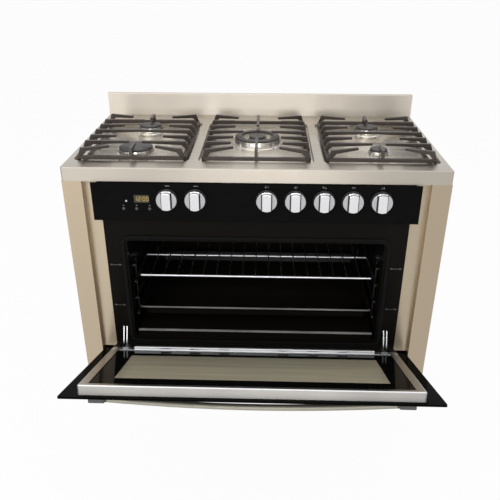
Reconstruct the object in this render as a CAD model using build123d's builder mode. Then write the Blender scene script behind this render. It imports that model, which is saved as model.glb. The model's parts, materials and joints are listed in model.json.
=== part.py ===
"""A free-standing gas cooker: five-burner hob, drop-down oven door and storage drawer.

Millimetres, +Z up, the front faces -Y. The origin is on the floor, below the middle of the box
that the cooker fills with its oven door resting part open.
"""
import math
import os

from build123d import *

os.makedirs("parts", exist_ok=True)

# Cabinet
width = 1000.0
depth = 600.0
hob_height = 850.0
leg_height = 115.0
sheet = 1.5
fit_gap = 0.3
running_gap = 0.05
side_return = 51.0
column_width = 39.0
column_depth = 30.0
column_setback = 20.0
rear_setback = 30.0
base_lip = 20.0
rear_vent_pitch = 70.0
rear_vent_row = 16.0
rear_vent_length = 50.0
rear_vent_width = 6.0
rear_vent_columns = 9
rear_vent_rows = 3
rear_vent_drop = 70.0
rear_vent_rise = 90.0

# Hob, backguard and burners
hob_apron = 37.0
hob_corner = 6.0
hob_edge = 3.0
well_depth = 8.0
well_margin = 8.0
well_corner = 22.0
backguard_depth = 55.0
backguard_rise = 72.0
guard_fold = 12.0
guard_edge = 3.0
guard_deck = 10.0
guard_vent_pitch = 80.0
guard_vent_row = 14.0
guard_vent_length = 60.0
guard_vent_width = 5.0
guard_vents = 11
support_margin = 25.0
support_gap = 40.0
support_depth = 378.0
support_front = 62.0
support_rise = 30.0
support_lift = 1.0
support_bar = 9.0
finger_bar = 8.0
finger_depth = 10.0
finger_corner = 5.0
corner_tip_x = 62.0
corner_tip_in = 34.0
burner_tip = 18.0
between_tip = 66.0
wide_tip = 70.0
centre_tip = 40.0
centre_end_tip = 6.0
burner_pitch_y = 226.0
rapid_radius = 50.0
medium_radius = 38.0
small_radius = 28.0
triple_radius = 67.0
cup_flange = 3.0
cup_lip = 4.0
cup_hole_in = 8.0
crown_height = 16.0
port_depth = 10.0
port_width = 2.2
port_height = 7.0
triple_ports = 40
large_ports = 24
small_ports = 18
triple_ring = 24.0
triple_gap = 16.0
cap_inset = 4.0
triple_cap_inset = 3.0
cap_height = 5.0
cup_drop = 44.0
boss_radius = 12.0
pin_stand_off = 12.0
pin_collar = 9.0
spark_angle = 235.0
spark_radius = 1.3
spark_collar = 3.5
probe_angle = 305.0
probe_radius = 1.8
probe_collar = 3.0

# Control panel, knobs and gas way
panel_inset = 75.0
panel_height = 105.0
panel_thick = 4.0
panel_top_gap = 2.0
panel_proud = 6.0
panel_chamfer = 0.8
bracket_depth = 50.0
bracket_side_gap = 2.0
bracket_under = 1.0
hole_gap = 0.25
spindle_clear = 3.0
knob_pitch = 73.5
left_knob_in = 197.0
right_knob_in = 101.5
left_knobs = 2
right_knobs = 5
knob_drop = 81.0
knob_radius = 29.0
knob_skirt = 12.0
knob_draft = 12.0
knob_round = 1.5
knob_grip = 24.0
grip_inset = 4.6
grip_draft = 3.0
knob_length = 22.0
spindle_depth = 15.4
knob_push = 3.0
knob_gap = 3.6
spindle_radius = 4.0
spindle_reach = 30.0
tap_radius = 11.0
tap_neck = 4.0
tap_neck_length = 10.0
tap_outlet = 36.0
manifold_radius = 9.0
manifold_back = 70.0
manifold_over = 32.0
pipe_radius = 4.0
pipe_bend = 12.0
inlet_radius = 10.48
inlet_length = 23.0
inlet_inset = 2.0
inlet_side = 60.0
display_in = 130.0
display_width = 40.0
display_height = 22.0
display_drop = 82.0
board_left = 57.0
board_right = 29.0
board_above = 17.0
board_below = 10.0
board_thick = 18.0
board_gap = 6.0
buttons = 3
button_shift = 14.0
button_pitch = 34.0
button_drop = 109.0
button_radius = 4.0
button_travel = 1.5
button_proud = 2.5
button_collar = 1.5
button_round = 1.0
lamp_left = 40.0
lamp_drop = 6.0
lamp_radius = 2.5
lamp_proud = 0.8

# Oven
oven_side = 148.0
oven_corner = 10.0
oven_bottom = 316.0
oven_top = 634.0
oven_depth = 446.0
frame_setback = 22.0
frame_bottom = 287.0
frame_top_gap = 2.0
insulation = 17.0
seal_width = 10.0
seal_inset = 6.0
seal_corner = 16.0
seal_squeeze = 0.5
wire = 3.0
rack_level = 392.0
rack_step = 53.0
rack_levels = 4
rack_end = 12.0
rack_post_in = 15.0
rack_weld = 0.5
shelf_level = 2
shelf_front = 60.0
shelf_depth = 370.0
shelf_bar = 3.5
shelf_wire = 1.75
shelf_wires = 17
shelf_inset = 2.0
shelf_crossbars = (0.36, 0.7)
tray_drop = 28.0
tray_corner = 12.0
tray_draft = 8.0
tray_bead = 2.0
floor_rise = 22.0
floor_margin = 8.0
floor_round = 6.0
flame_slots_in = 105.6
flame_slot_pitch = 90.0
flame_slot_row = 110.0
flame_slot_half = (28.0, 9.0)
burner_tube = 7.0
burner_tail_x = -60.0
burner_tube_in = 140.8
burner_tube_near = 150.0
burner_tube_far = 40.0
grill_width = 260.0
grill_length = 300.0
grill_depth = 16.0
grill_draft = 20.0
grill_corner = 30.0
grill_ports = 9
grill_port_pitch = 20.0
grill_port_length = 210.0
grill_port_width = 8.0
grill_port_depth = 5.0

# Oven door, measured from its hinge line: along the door, and out from it
door_rest = 20.5
hinge_ahead = 2.0
hinge_height = 294.0
glass_side_gap = 5.0
glass_length = 410.0
glass_corner = 5.0
glass_below = 4.0
glass_thick = 5.0
glass_out = 5.0
frame_side_gap = 8.5
frame_start = 60.0
frame_end = 392.0
frame_lift = 19.0
frame_corner = 6.0
frame_edge = 3.0
side_flange = 22.0
front_flange = 14.0
rear_rail = 27.0
window_corner = 4.0
rib_start = 72.0
rib_end = 84.0
rib_rise = 8.0
rib_inset = 66.5
rib_edge = 1.5
vents_each_side = 3
vent_pitch = 82.0
vent_length = 30.0
vent_width = 5.0
inner_glass_thick = 4.0
inner_glass_over = 4.0
inner_glass_gap = 1.0
hinge_inset = 30.0
arm_half = 6.0
arm_plate = 3.0
arm_slack = 3.0
pivot_radius = 2.5
pivot_eye = 4.5
ear = 5.0
arm_slot_low = 34.0
arm_slot_high = 62.0
arm_slot_gap = 2.0
arm_reach = 44.0
arm_block = 12.0
rail_step = 2.0
bridge_start = 20.0
bridge_thick = 3.0
handle_along = 336.0
handle_inset = 54.0
handle_end_out = 31.0
handle_bow = 15.0
handle_wide = 20.0
handle_thick = 12.0
handle_round = 5.0
end_block_length = 40.0
end_block_wide = 28.0
end_block_out = 40.0
end_block_round = 4.0
handle_tuck = 10.0

# Storage drawer and feet
drawer_front_top = 276.0
drawer_front_bottom = 128.0
drawer_front_gap = 3.0
drawer_front_thick = 18.0
drawer_edge = 3.0
drawer_grip_length = 180.0
drawer_grip_width = 20.0
drawer_grip_drop = 24.0
drawer_side_gap = 53.0
drawer_depth = 470.0
runner_gap = 3.0
drawer_lip = 12.0
drawer_lip_z = 238.0
drawer_floor_z = 140.0
foot_radius = 25.0
foot_pad = 12.0
foot_edge = 2.0
foot_slope = 8.0
leg_radius = 14.0
foot_inset = 70.0
foot_front = 150.0
foot_rear = 520.0
gland_radius = 11.0
gland_bore = 4.5
gland_nut = 8.0
gland_nose = 18.0
gland_step = 3.0
gland_side = 100.0
gland_z = 210.0

# Places worked out from the sizes above
rest = math.radians(door_rest)
glass_end = glass_length - glass_below
glass_face = glass_out + glass_thick
door_reach = hinge_ahead + glass_end * math.cos(rest) + glass_face * math.sin(rest)
rear = (depth + door_reach) / 2
front = rear - depth
half = width / 2
hob_under = hob_height - hob_apron
well_floor = hob_height - well_depth
seam = half - side_return
column_inner = seam - column_width
support_width = (width - 2 * support_margin - 2 * support_gap) / 3
support_pitch = support_width + support_gap
panel_half = half - panel_inset
rear_plate = rear - rear_setback
pan_top = leg_height + sheet
panel_top = hob_under - panel_top_gap
panel_bottom = panel_top - panel_height
panel_face = front - panel_proud
panel_back = panel_face + panel_thick
bracket_back = panel_back + sheet
knob_z = hob_height - knob_drop
knob_back = panel_face - knob_gap
knob_xs = [left_knob_in - panel_half + i * knob_pitch for i in range(left_knobs)]
knob_xs += [panel_half - right_knob_in - i * knob_pitch for i in reversed(range(right_knobs))]
spindle_end = bracket_back + spindle_reach
spindle_tip = knob_back - spindle_depth
tap_end = front + manifold_back - manifold_radius - fit_gap
tap_outlet_y = front + tap_outlet
inlet_x = half - inlet_side
display_x = display_in - panel_half
display_z = hob_height - display_drop
lamp_x = display_x - lamp_left
lamp_z = display_z - lamp_drop
button_z = hob_height - button_drop
button_xs = [display_x - button_shift + (i - (buttons - 1) / 2) * button_pitch for i in range(buttons)]
board_front = bracket_back + board_gap
frame_face = front + frame_setback
frame_top = panel_bottom - frame_top_gap
oven_front = frame_face + sheet
oven_back = oven_front + oven_depth
oven_half = half - oven_side
oven_shell = oven_half + sheet
support_mid = front + support_front + support_depth / 2
support_top = hob_height + support_rise
ring_low = hob_height + support_lift
ring_high = ring_low + support_bar
front_burner_y = support_mid - burner_pitch_y / 2
rear_burner_y = support_mid + burner_pitch_y / 2
burners = [
    (-support_pitch, front_burner_y, rapid_radius),
    (-support_pitch, rear_burner_y, medium_radius),
    (0.0, support_mid, triple_radius),
    (support_pitch, rear_burner_y, medium_radius),
    (support_pitch, front_burner_y, small_radius),
]
crown_low = well_floor + cup_flange
crown_high = crown_low + crown_height
ring_hollow = triple_radius - triple_ring
core_radius = ring_hollow - triple_gap
cup_low = well_floor - cup_drop
pipe_z = cup_low + boss_radius / 2
hinge_y = front - hinge_ahead
hinge_x = column_inner - hinge_inset
slot_low = hinge_height + arm_slot_low
slot_high = hinge_height + arm_slot_high
arm_tail = frame_face + arm_reach
glass_half = seam - glass_side_gap
frame_half = column_inner - frame_side_gap
along = Vector(0, -math.cos(rest), math.sin(rest))
inward = Vector(0, math.sin(rest), math.cos(rest))
door_plane = Plane(origin=(0, hinge_y, hinge_height), x_dir=(-1, 0, 0), z_dir=inward)
frame_inner = -glass_out
rack_post_x = oven_half - 2 * wire
rack_wire_x = rack_post_x - 2 * wire + rack_weld
shelf_half = rack_wire_x - shelf_inset + shelf_bar
shelf_y = front + shelf_front
shelf_seat = math.sqrt((wire + shelf_bar + fit_gap) ** 2 - shelf_inset**2)
shelf_z = rack_level + shelf_level * rack_step + shelf_seat
tray_rim = rack_level + wire + fit_gap
plate_front = oven_front + floor_margin
plate_back = oven_back - floor_margin
plate_top = oven_bottom + floor_rise
drawer_half = seam - drawer_side_gap
foot_x = half - foot_inset
gland_x = gland_side - half


def block(x, y, z, mode=Mode.ADD):
    """A block between the two ends given along each axis."""
    with Locations((sum(x) / 2, sum(y) / 2, sum(z) / 2)):
        Box(x[1] - x[0], y[1] - y[0], z[1] - z[0], mode=mode)


def rod(start, end, radius, mode=Mode.ADD):
    """A round bar from one point to another."""
    run = Vector(*end) - Vector(*start)
    with BuildSketch(Plane(origin=start, z_dir=run)) as section:
        Circle(radius)
    extrude(section.sketch, amount=run.length, mode=mode)


def turned(x, y, profile):
    """A body turned about the upright line at x, y from points given as radius and height."""
    with BuildSketch(Plane(origin=(x, y, 0), x_dir=(1, 0, 0), z_dir=(0, -1, 0))) as section:
        with BuildLine():
            Polyline(*profile, close=True)
        make_face()
    revolve(section.sketch, axis=Axis((x, y, 0), (0, 0, 1)))


def turned_forward(x, z, profile):
    """A body turned about the line along the depth at x, z from points given as radius and place in Y."""
    with BuildSketch(Plane(origin=(x, 0, z), x_dir=(1, 0, 0), z_dir=(0, 0, 1))) as section:
        with BuildLine():
            Polyline(*profile, close=True)
        make_face()
    revolve(section.sketch, axis=Axis((x, 0, z), (0, 1, 0)))


def finish(builder, name):
    """Name a finished piece and write it."""
    builder.part.label = name
    export_step(builder.part, f"parts/{name}.step")


# Cabinet sheet metal
with BuildPart() as base_pan:
    block(
        (sheet - half, half - sheet),
        (front + column_depth, rear_plate),
        (leg_height, leg_height + base_lip),
    )
    block(
        (-half + 2 * sheet, half - 2 * sheet),
        (front + column_depth + sheet, rear_plate - sheet),
        (pan_top, leg_height + base_lip),
        mode=Mode.SUBTRACT,
    )
finish(base_pan, "base_pan")

for side, side_name in ((-1, "left"), (1, "right")):
    rear_lip = half - side_return / 2
    with BuildPart() as side_panel:
        with BuildSketch(Plane.XY.offset(leg_height)):
            with BuildLine():
                Polyline(
                    (side * seam, front + column_depth),
                    (side * seam, front),
                    (side * half, front),
                    (side * half, rear),
                    (side * rear_lip, rear),
                    (side * rear_lip, rear - sheet),
                    (side * (half - sheet), rear - sheet),
                    (side * (half - sheet), front + sheet),
                    (side * (seam + sheet), front + sheet),
                    (side * (seam + sheet), front + column_depth),
                    close=True,
                )
            make_face()
        extrude(amount=hob_under - leg_height)
    finish(side_panel, f"side_panel_{side_name}")

with BuildPart() as front_columns:
    column_front = front + column_setback
    column_back = front + column_depth
    for side in (-1, 1):
        with BuildSketch(Plane.XY.offset(frame_bottom)):
            with BuildLine():
                Polyline(
                    (side * column_inner, column_back),
                    (side * column_inner, column_front),
                    (side * seam, column_front),
                    (side * seam, column_back),
                    (side * (seam - sheet), column_back),
                    (side * (seam - sheet), column_front + sheet),
                    (side * (column_inner + sheet), column_front + sheet),
                    (side * (column_inner + sheet), column_back),
                    close=True,
                )
            make_face()
    extrude(amount=hob_under - frame_bottom)
finish(front_columns, "front_columns")

with BuildPart() as rear_panel:
    block((-half + sheet, half - sheet), (rear_plate, rear_plate + sheet), (leg_height, hob_under))
    with BuildSketch(Plane.XZ.offset(-rear_plate)):
        with Locations((0, hob_under - rear_vent_drop), (0, leg_height + rear_vent_rise)):
            with GridLocations(rear_vent_pitch, rear_vent_row, rear_vent_columns, rear_vent_rows):
                SlotOverall(rear_vent_length, rear_vent_width)
    extrude(amount=-sheet, mode=Mode.SUBTRACT)
    inlet_hole = inlet_radius + fit_gap
    rod((inlet_x, rear_plate - sheet, knob_z), (inlet_x, rear, knob_z), inlet_hole, mode=Mode.SUBTRACT)
finish(rear_panel, "rear_panel")

# Hob: a pressed tray with three wells, open below
well_size = (support_width + 2 * well_margin, support_depth + 2 * well_margin)
well_spots = [(i * support_pitch, support_mid) for i in (-1, 0, 1)]
with BuildPart() as hob_void:
    block(
        (-half + sheet, half - sheet),
        (front + sheet, rear - sheet),
        (hob_under, hob_height - sheet),
    )
    with BuildSketch(Plane.XY.offset(well_floor - sheet)):
        with Locations(*well_spots):
            RectangleRounded(well_size[0] + 2 * sheet, well_size[1] + 2 * sheet, well_corner + sheet)
    extrude(amount=well_depth, mode=Mode.SUBTRACT)

with BuildPart() as hob_top:
    block((-half, half), (front, rear), (hob_under, hob_height))
    fillet(hob_top.edges().filter_by(Axis.Z), hob_corner)
    fillet(hob_top.faces().sort_by(Axis.Z)[-1].edges(), hob_edge)
    with BuildSketch(Plane.XY.offset(well_floor)):
        with Locations(*well_spots):
            RectangleRounded(*well_size, well_corner)
    extrude(amount=well_depth, mode=Mode.SUBTRACT)
    add(hob_void.part, mode=Mode.SUBTRACT)
    for x, y, radius in burners:
        rod((x, y, hob_under), (x, y, hob_height), radius - cup_hole_in, mode=Mode.SUBTRACT)
finish(hob_top, "hob_top")

guard_front = rear - backguard_depth
guard_back = guard_front + guard_fold
guard_top = hob_height + backguard_rise
deck_top = hob_height + guard_deck
with BuildPart() as backguard:
    for side_wall, mode in ((0.0, Mode.ADD), (sheet, Mode.SUBTRACT)):
        with BuildSketch(Plane.YZ.offset(side_wall - half)):
            with BuildLine():
                Polyline(
                    (guard_front + side_wall, hob_height),
                    (guard_front + side_wall, guard_top - side_wall),
                    (guard_back - side_wall, guard_top - side_wall),
                    (guard_back - side_wall, deck_top - side_wall),
                    (rear - side_wall, deck_top - side_wall),
                    (rear - side_wall, hob_height),
                    close=True,
                )
            make_face()
        extrude(amount=2 * (half - side_wall), mode=mode)
    guard_ridge = backguard.edges().filter_by(Axis.X).group_by(Axis.Z)[-1]
    fillet(guard_ridge, guard_edge)
    with BuildSketch(Plane.XY.offset(deck_top)):
        with Locations((0, (guard_back + rear) / 2)):
            with GridLocations(guard_vent_pitch, guard_vent_row, guard_vents, 2):
                SlotOverall(guard_vent_length, guard_vent_width)
    extrude(amount=-sheet, mode=Mode.SUBTRACT)
finish(backguard, "backguard")

# Burners, from the cup under the hob to the cap
with BuildPart() as burner_cups:
    for x, y, radius in burners:
        neck = radius - cup_hole_in - fit_gap
        turned(x, y, [
            (0, cup_low),
            (boss_radius, cup_low),
            (boss_radius, cup_low + boss_radius),
            (neck, well_floor - boss_radius),
            (neck, well_floor),
            (radius + cup_lip, well_floor),
            (radius + cup_lip, well_floor + sheet),
            (radius + cup_lip / 2, crown_low),
            (0, crown_low),
        ])
finish(burner_cups, "burner_cups")


def crown(x, y, radius, hollow, ports):
    """A flame ring with its ports cut as slots round the rim."""
    turned(x, y, [
        (hollow, crown_low),
        (radius - 1, crown_low),
        (radius, crown_low + 5),
        (radius - 2, crown_high),
        (hollow, crown_high),
    ])
    with Locations(Location((x, y, crown_high - port_height / 2))):
        with PolarLocations(radius, ports):
            Box(port_depth, port_width, port_height, mode=Mode.SUBTRACT)


def cap(x, y, radius, hollow):
    """A flat enamelled cap with a rounded shoulder."""
    turned(x, y, [
        (hollow, crown_high),
        (radius, crown_high),
        (radius, crown_high + cap_height * 0.4),
        (radius - 1.2, crown_high + cap_height * 0.8),
        (radius - 4, crown_high + cap_height),
        (hollow, crown_high + cap_height),
    ])


with BuildPart() as burner_crowns:
    for x, y, radius in burners:
        if radius == triple_radius:
            crown(x, y, radius, ring_hollow, triple_ports)
            crown(x, y, core_radius, 0, small_ports)
        else:
            crown(x, y, radius, 0, large_ports if radius > small_radius else small_ports)
finish(burner_crowns, "burner_crowns")

with BuildPart() as burner_caps:
    for x, y, radius in burners:
        if radius == triple_radius:
            cap(x, y, radius - triple_cap_inset, ring_hollow + triple_cap_inset)
            cap(x, y, core_radius - triple_cap_inset, 0)
        else:
            cap(x, y, radius - cap_inset, 0)
finish(burner_caps, "burner_caps")


def burner_pins(angle, pin_radius, collar_radius):
    """One small upright pin beside each burner, on a collar that stands on the hob."""
    turn = math.radians(angle)
    for x, y, radius in burners:
        reach = radius + pin_stand_off
        spot = (x + reach * math.cos(turn), y + reach * math.sin(turn))
        turned(*spot, [
            (0, well_floor),
            (collar_radius, well_floor),
            (collar_radius, well_floor + pin_collar),
            (pin_radius, well_floor + pin_collar + sheet),
            (pin_radius, crown_high - pin_radius),
            (0, crown_high),
        ])


with BuildPart() as spark_electrodes:
    burner_pins(spark_angle, spark_radius, spark_collar)
finish(spark_electrodes, "spark_electrodes")

with BuildPart() as thermocouples:
    burner_pins(probe_angle, probe_radius, probe_collar)
finish(thermocouples, "thermocouples")

# Pan supports: a low ring and cranked fingers that rise from it to the pan
def finger(start, end):
    """A cranked finger that climbs out of the ring and runs level to its tip."""
    run = Vector(*end) - Vector(*start)
    plane = Plane(origin=start, x_dir=run, z_dir=run.cross(Vector(0, 0, 1)))
    reach = run.length
    with BuildSketch(plane) as section:
        with BuildLine():
            Polyline(
                (0, ring_low),
                (0, ring_high),
                (support_rise / 4, support_top),
                (reach, support_top),
                (reach, support_top - finger_depth * 0.6),
                (support_bar * 2.2, support_top - finger_depth),
                (support_bar, ring_high),
                (support_bar, ring_low),
                close=True,
            )
        make_face()
    extrude(section.sketch, amount=finger_bar / 2, both=True)


def support_ring(x):
    """The low ring round one pair of burners, on four feet."""
    with BuildSketch(Plane.XY.offset(ring_low)) as ring:
        with Locations((x, support_mid)):
            RectangleRounded(support_width, support_depth, well_corner - well_margin)
            RectangleRounded(
                support_width - 2 * support_bar,
                support_depth - 2 * support_bar,
                well_corner - well_margin - support_bar / 2,
                mode=Mode.SUBTRACT,
            )
    extrude(ring.sketch, amount=support_bar)
    foot_spread = (support_width - support_bar, support_depth - 4 * support_bar)
    with BuildSketch(Plane.XY.offset(well_floor)) as feet:
        with Locations((x, support_mid)):
            with GridLocations(*foot_spread, 2, 2):
                Circle(support_bar / 2 - 0.5)
    extrude(feet.sketch, amount=ring_low - well_floor + 1)


def side_finger(x, row, side, tip):
    """A finger from the left or right bar, with its tip this far from the middle."""
    finger((x + side * support_width / 2, row, 0), (x + side * tip, row, 0))


def end_finger(x, end, tip):
    """A finger from the front or rear bar, with its tip this far from the middle."""
    finger((x, support_mid + end * support_depth / 2, 0), (x, support_mid + end * tip, 0))


def corner_finger(x, side, end, tip):
    """A slanting finger from one corner of the ring."""
    corner_x = support_width / 2 - finger_corner
    corner_y = support_depth / 2 - finger_corner
    finger(
        (x + side * corner_x, support_mid + end * corner_y, 0),
        (x + side * tip[0], support_mid + end * tip[1], 0),
    )


half_row = burner_pitch_y / 4
for place, support_name in ((-1, "left"), (0, "centre"), (1, "right")):
    mid = place * support_pitch
    with BuildPart() as pan_support:
        support_ring(mid)
        for end in (-1, 1):
            for side in (-1, 1):
                corner_finger(mid, side, end, (corner_tip_x, support_depth / 2 - corner_tip_in))
                side_finger(mid, support_mid + end * 2 * half_row, side, burner_tip if place else wide_tip)
                side_finger(mid, support_mid + end * half_row, side, between_tip)
            end_finger(mid, end, 2 * half_row + burner_tip if place else half_row + centre_end_tip)
        for side in (-1, 1):
            side_finger(mid, support_mid, side, -sheet if place else centre_tip)
    finish(pan_support, f"pan_support_{support_name}")

# Control panel and what stands behind it
def panel_holes(thickness, face):
    """Cut the holes for the knobs, the buttons, the lamp and the display."""
    with BuildSketch(Plane.XZ.offset(-face)) as holes:
        with Locations(*[(x, knob_z) for x in knob_xs]):
            Circle(spindle_radius + spindle_clear)
        with Locations(*[(x, button_z) for x in button_xs]):
            Circle(button_radius + hole_gap)
        with Locations((lamp_x, lamp_z)):
            Circle(lamp_radius + hole_gap)
        with Locations((display_x, display_z)):
            Rectangle(display_width, display_height)
    extrude(holes.sketch, amount=-thickness, mode=Mode.SUBTRACT)


with BuildPart() as control_panel:
    block(
        (-panel_half, panel_half),
        (panel_face, panel_back),
        (panel_bottom, panel_top),
    )
    chamfer(control_panel.faces().sort_by(Axis.Y)[0].edges(), panel_chamfer)
    panel_holes(panel_thick, panel_face)
finish(control_panel, "control_panel")

with BuildPart() as control_bracket:
    bracket_half = column_inner - bracket_side_gap
    bracket_low = panel_bottom + bracket_under
    bracket_high = hob_under
    with BuildSketch(Plane.YZ.offset(-bracket_half)):
        with BuildLine():
            Polyline(
                (panel_back, bracket_low),
                (panel_back, bracket_high),
                (panel_back + bracket_depth, bracket_high),
                (panel_back + bracket_depth, bracket_high - sheet),
                (bracket_back, bracket_high - sheet),
                (bracket_back, bracket_low + sheet),
                (panel_back + bracket_depth, bracket_low + sheet),
                (panel_back + bracket_depth, bracket_low),
                close=True,
            )
        make_face()
    extrude(amount=2 * bracket_half)
    panel_holes(sheet, panel_back)
finish(control_bracket, "control_bracket")

with BuildPart() as clock_display:
    block(
        (display_x - board_left, display_x + board_right),
        (board_front, board_front + board_thick),
        (button_z - board_below, display_z + board_above),
    )
    block(
        (display_x - display_width / 2 + hole_gap, display_x + display_width / 2 - hole_gap),
        (panel_face, board_front),
        (display_z - display_height / 2 + hole_gap, display_z + display_height / 2 - hole_gap),
    )
    rod((lamp_x, panel_face - lamp_proud, lamp_z), (lamp_x, board_front, lamp_z), lamp_radius)
finish(clock_display, "clock_display")

for index, x in enumerate(button_xs):
    with BuildPart() as clock_button:
        button_end = board_front - button_travel - fit_gap
        collar = (bracket_back + fit_gap, bracket_back + fit_gap + sheet)
        rod((x, panel_face - button_proud, button_z), (x, button_end, button_z), button_radius)
        rod((x, collar[0], button_z), (x, collar[1], button_z), button_radius + button_collar)
        fillet(clock_button.faces().sort_by(Axis.Y)[0].edges(), button_round)
    finish(clock_button, f"clock_button_{index + 1}")

# Knobs on their spindles
for index, x in enumerate(knob_xs):
    with BuildPart() as tap_spindle:
        rod((x, spindle_tip, knob_z), (x, spindle_end, knob_z), spindle_radius)
    finish(tap_spindle, f"tap_spindle_{index + 1}")

    with BuildPart() as knob:
        skirt_front = knob_back - knob_skirt
        with BuildSketch(Plane.XZ.offset(-knob_back)):
            with Locations((x, knob_z)):
                Circle(knob_radius)
        extrude(amount=knob_skirt, taper=knob_draft)
        fillet(knob.faces().sort_by(Axis.Y)[0].edges(), knob_round)
        with BuildSketch(Plane.XZ.offset(-skirt_front)):
            with Locations((x, knob_z)):
                Circle(knob_radius - grip_inset)
                Rectangle(knob_grip, 2 * knob_radius, mode=Mode.INTERSECT)
        extrude(amount=knob_length - knob_skirt, taper=grip_draft)
        fillet(knob.faces().sort_by(Axis.Y)[0].edges(), knob_round)
        bore = spindle_radius + running_gap
        rod((x, knob_back, knob_z), (x, spindle_tip - fit_gap, knob_z), bore, Mode.SUBTRACT)
    finish(knob, f"knob_{index + 1}")

# Gas way: taps along a manifold, the inlet at the back and a pipe to each burner
with BuildPart() as gas_taps:
    for x in knob_xs:
        turned_forward(x, knob_z, [
            (spindle_radius + running_gap, bracket_back),
            (tap_radius, bracket_back),
            (tap_radius, tap_end - tap_neck_length),
            (tap_radius - tap_neck, tap_end - tap_neck_length + sheet),
            (tap_radius - tap_neck, tap_end),
            (0, tap_end),
            (0, spindle_end + knob_push + fit_gap),
            (spindle_radius + running_gap, spindle_end + knob_push + fit_gap),
        ])
finish(gas_taps, "gas_taps")

with BuildPart() as gas_manifold:
    manifold_y = front + manifold_back
    inlet_end = rear - inlet_inset
    with BuildLine():
        FilletPolyline(
            (knob_xs[0] - manifold_over, manifold_y, knob_z),
            (inlet_x, manifold_y, knob_z),
            (inlet_x, inlet_end - inlet_length, knob_z),
            radius=3 * manifold_radius,
        )
    with BuildSketch(Plane(origin=(knob_xs[0] - manifold_over, manifold_y, knob_z), z_dir=(1, 0, 0))):
        Circle(manifold_radius)
    sweep()
    rod((inlet_x, inlet_end - inlet_length, knob_z), (inlet_x, inlet_end, knob_z), inlet_radius)
finish(gas_manifold, "gas_manifold")

with BuildPart() as burner_pipes:
    for knob_x, (x, y, radius) in zip(knob_xs[left_knobs:], burners):
        start = Vector(knob_x, tap_outlet_y, knob_z + tap_radius + fit_gap)
        turn = Vector(knob_x, tap_outlet_y, pipe_z)
        cup = Vector(x, y, pipe_z)
        end = cup - (cup - turn).normalized() * (boss_radius + fit_gap)
        with BuildLine() as route:
            FilletPolyline(start, turn, end, radius=pipe_bend)
        with BuildSketch(Plane(origin=start, z_dir=(0, 0, 1))) as pipe_section:
            Circle(pipe_radius)
        sweep(pipe_section.sketch, path=route.line)
finish(burner_pipes, "burner_pipes")

# Oven: enamelled box, insulation round it, front frame and seal
with BuildPart() as oven_cavity:
    block(
        (-oven_shell, oven_shell),
        (oven_front, oven_back + sheet),
        (oven_bottom - sheet, oven_top + sheet),
    )
    fillet(oven_cavity.edges().filter_by(Axis.Y), oven_corner + sheet)
    with BuildSketch(Plane.XZ.offset(-oven_front)):
        with Locations((0, (oven_bottom + oven_top) / 2)):
            RectangleRounded(2 * oven_half, oven_top - oven_bottom, oven_corner)
    extrude(amount=-oven_depth, mode=Mode.SUBTRACT)
finish(oven_cavity, "oven_cavity")

with BuildPart() as oven_insulation:
    wool = oven_shell + insulation
    block(
        (-wool, wool),
        (oven_front, oven_back + sheet + insulation),
        (oven_bottom - sheet - insulation, oven_top + sheet + insulation),
    )
    block(
        (-oven_shell - fit_gap, oven_shell + fit_gap),
        (oven_front, oven_back + sheet + fit_gap),
        (oven_bottom - sheet - fit_gap, oven_top + sheet + fit_gap),
        mode=Mode.SUBTRACT,
    )
finish(oven_insulation, "oven_insulation")

with BuildPart() as oven_front_frame:
    with BuildSketch(Plane.XZ.offset(-frame_face)):
        with Locations((0, (frame_bottom + frame_top) / 2)):
            Rectangle(2 * column_inner, frame_top - frame_bottom)
        with Locations((0, (oven_bottom + oven_top) / 2)):
            RectangleRounded(2 * oven_half, oven_top - oven_bottom, oven_corner, mode=Mode.SUBTRACT)
        with Locations((0, (slot_low + slot_high) / 2)):
            with GridLocations(2 * hinge_x, 1, 2, 1):
                Rectangle(2 * arm_half + 2 * fit_gap, slot_high - slot_low, mode=Mode.SUBTRACT)
    extrude(amount=-sheet)
finish(oven_front_frame, "oven_front_frame")

with BuildPart() as door_seal:
    seal_half = oven_half + seal_inset
    seal_high = (oven_top - oven_bottom) + 2 * seal_inset
    seal_thick = frame_setback + hinge_ahead - frame_lift - seal_squeeze
    with BuildSketch(Plane.XZ.offset(-frame_face)):
        with Locations((0, (oven_bottom + oven_top) / 2)):
            seal_outer = seal_corner + seal_width
            RectangleRounded(2 * (seal_half + seal_width), seal_high + 2 * seal_width, seal_outer)
            RectangleRounded(2 * seal_half, seal_high, seal_corner, mode=Mode.SUBTRACT)
    extrude(amount=seal_thick)
    fillet(door_seal.faces().sort_by(Axis.Y)[0].edges(), seal_thick * 0.45)
finish(door_seal, "door_seal")

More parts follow.
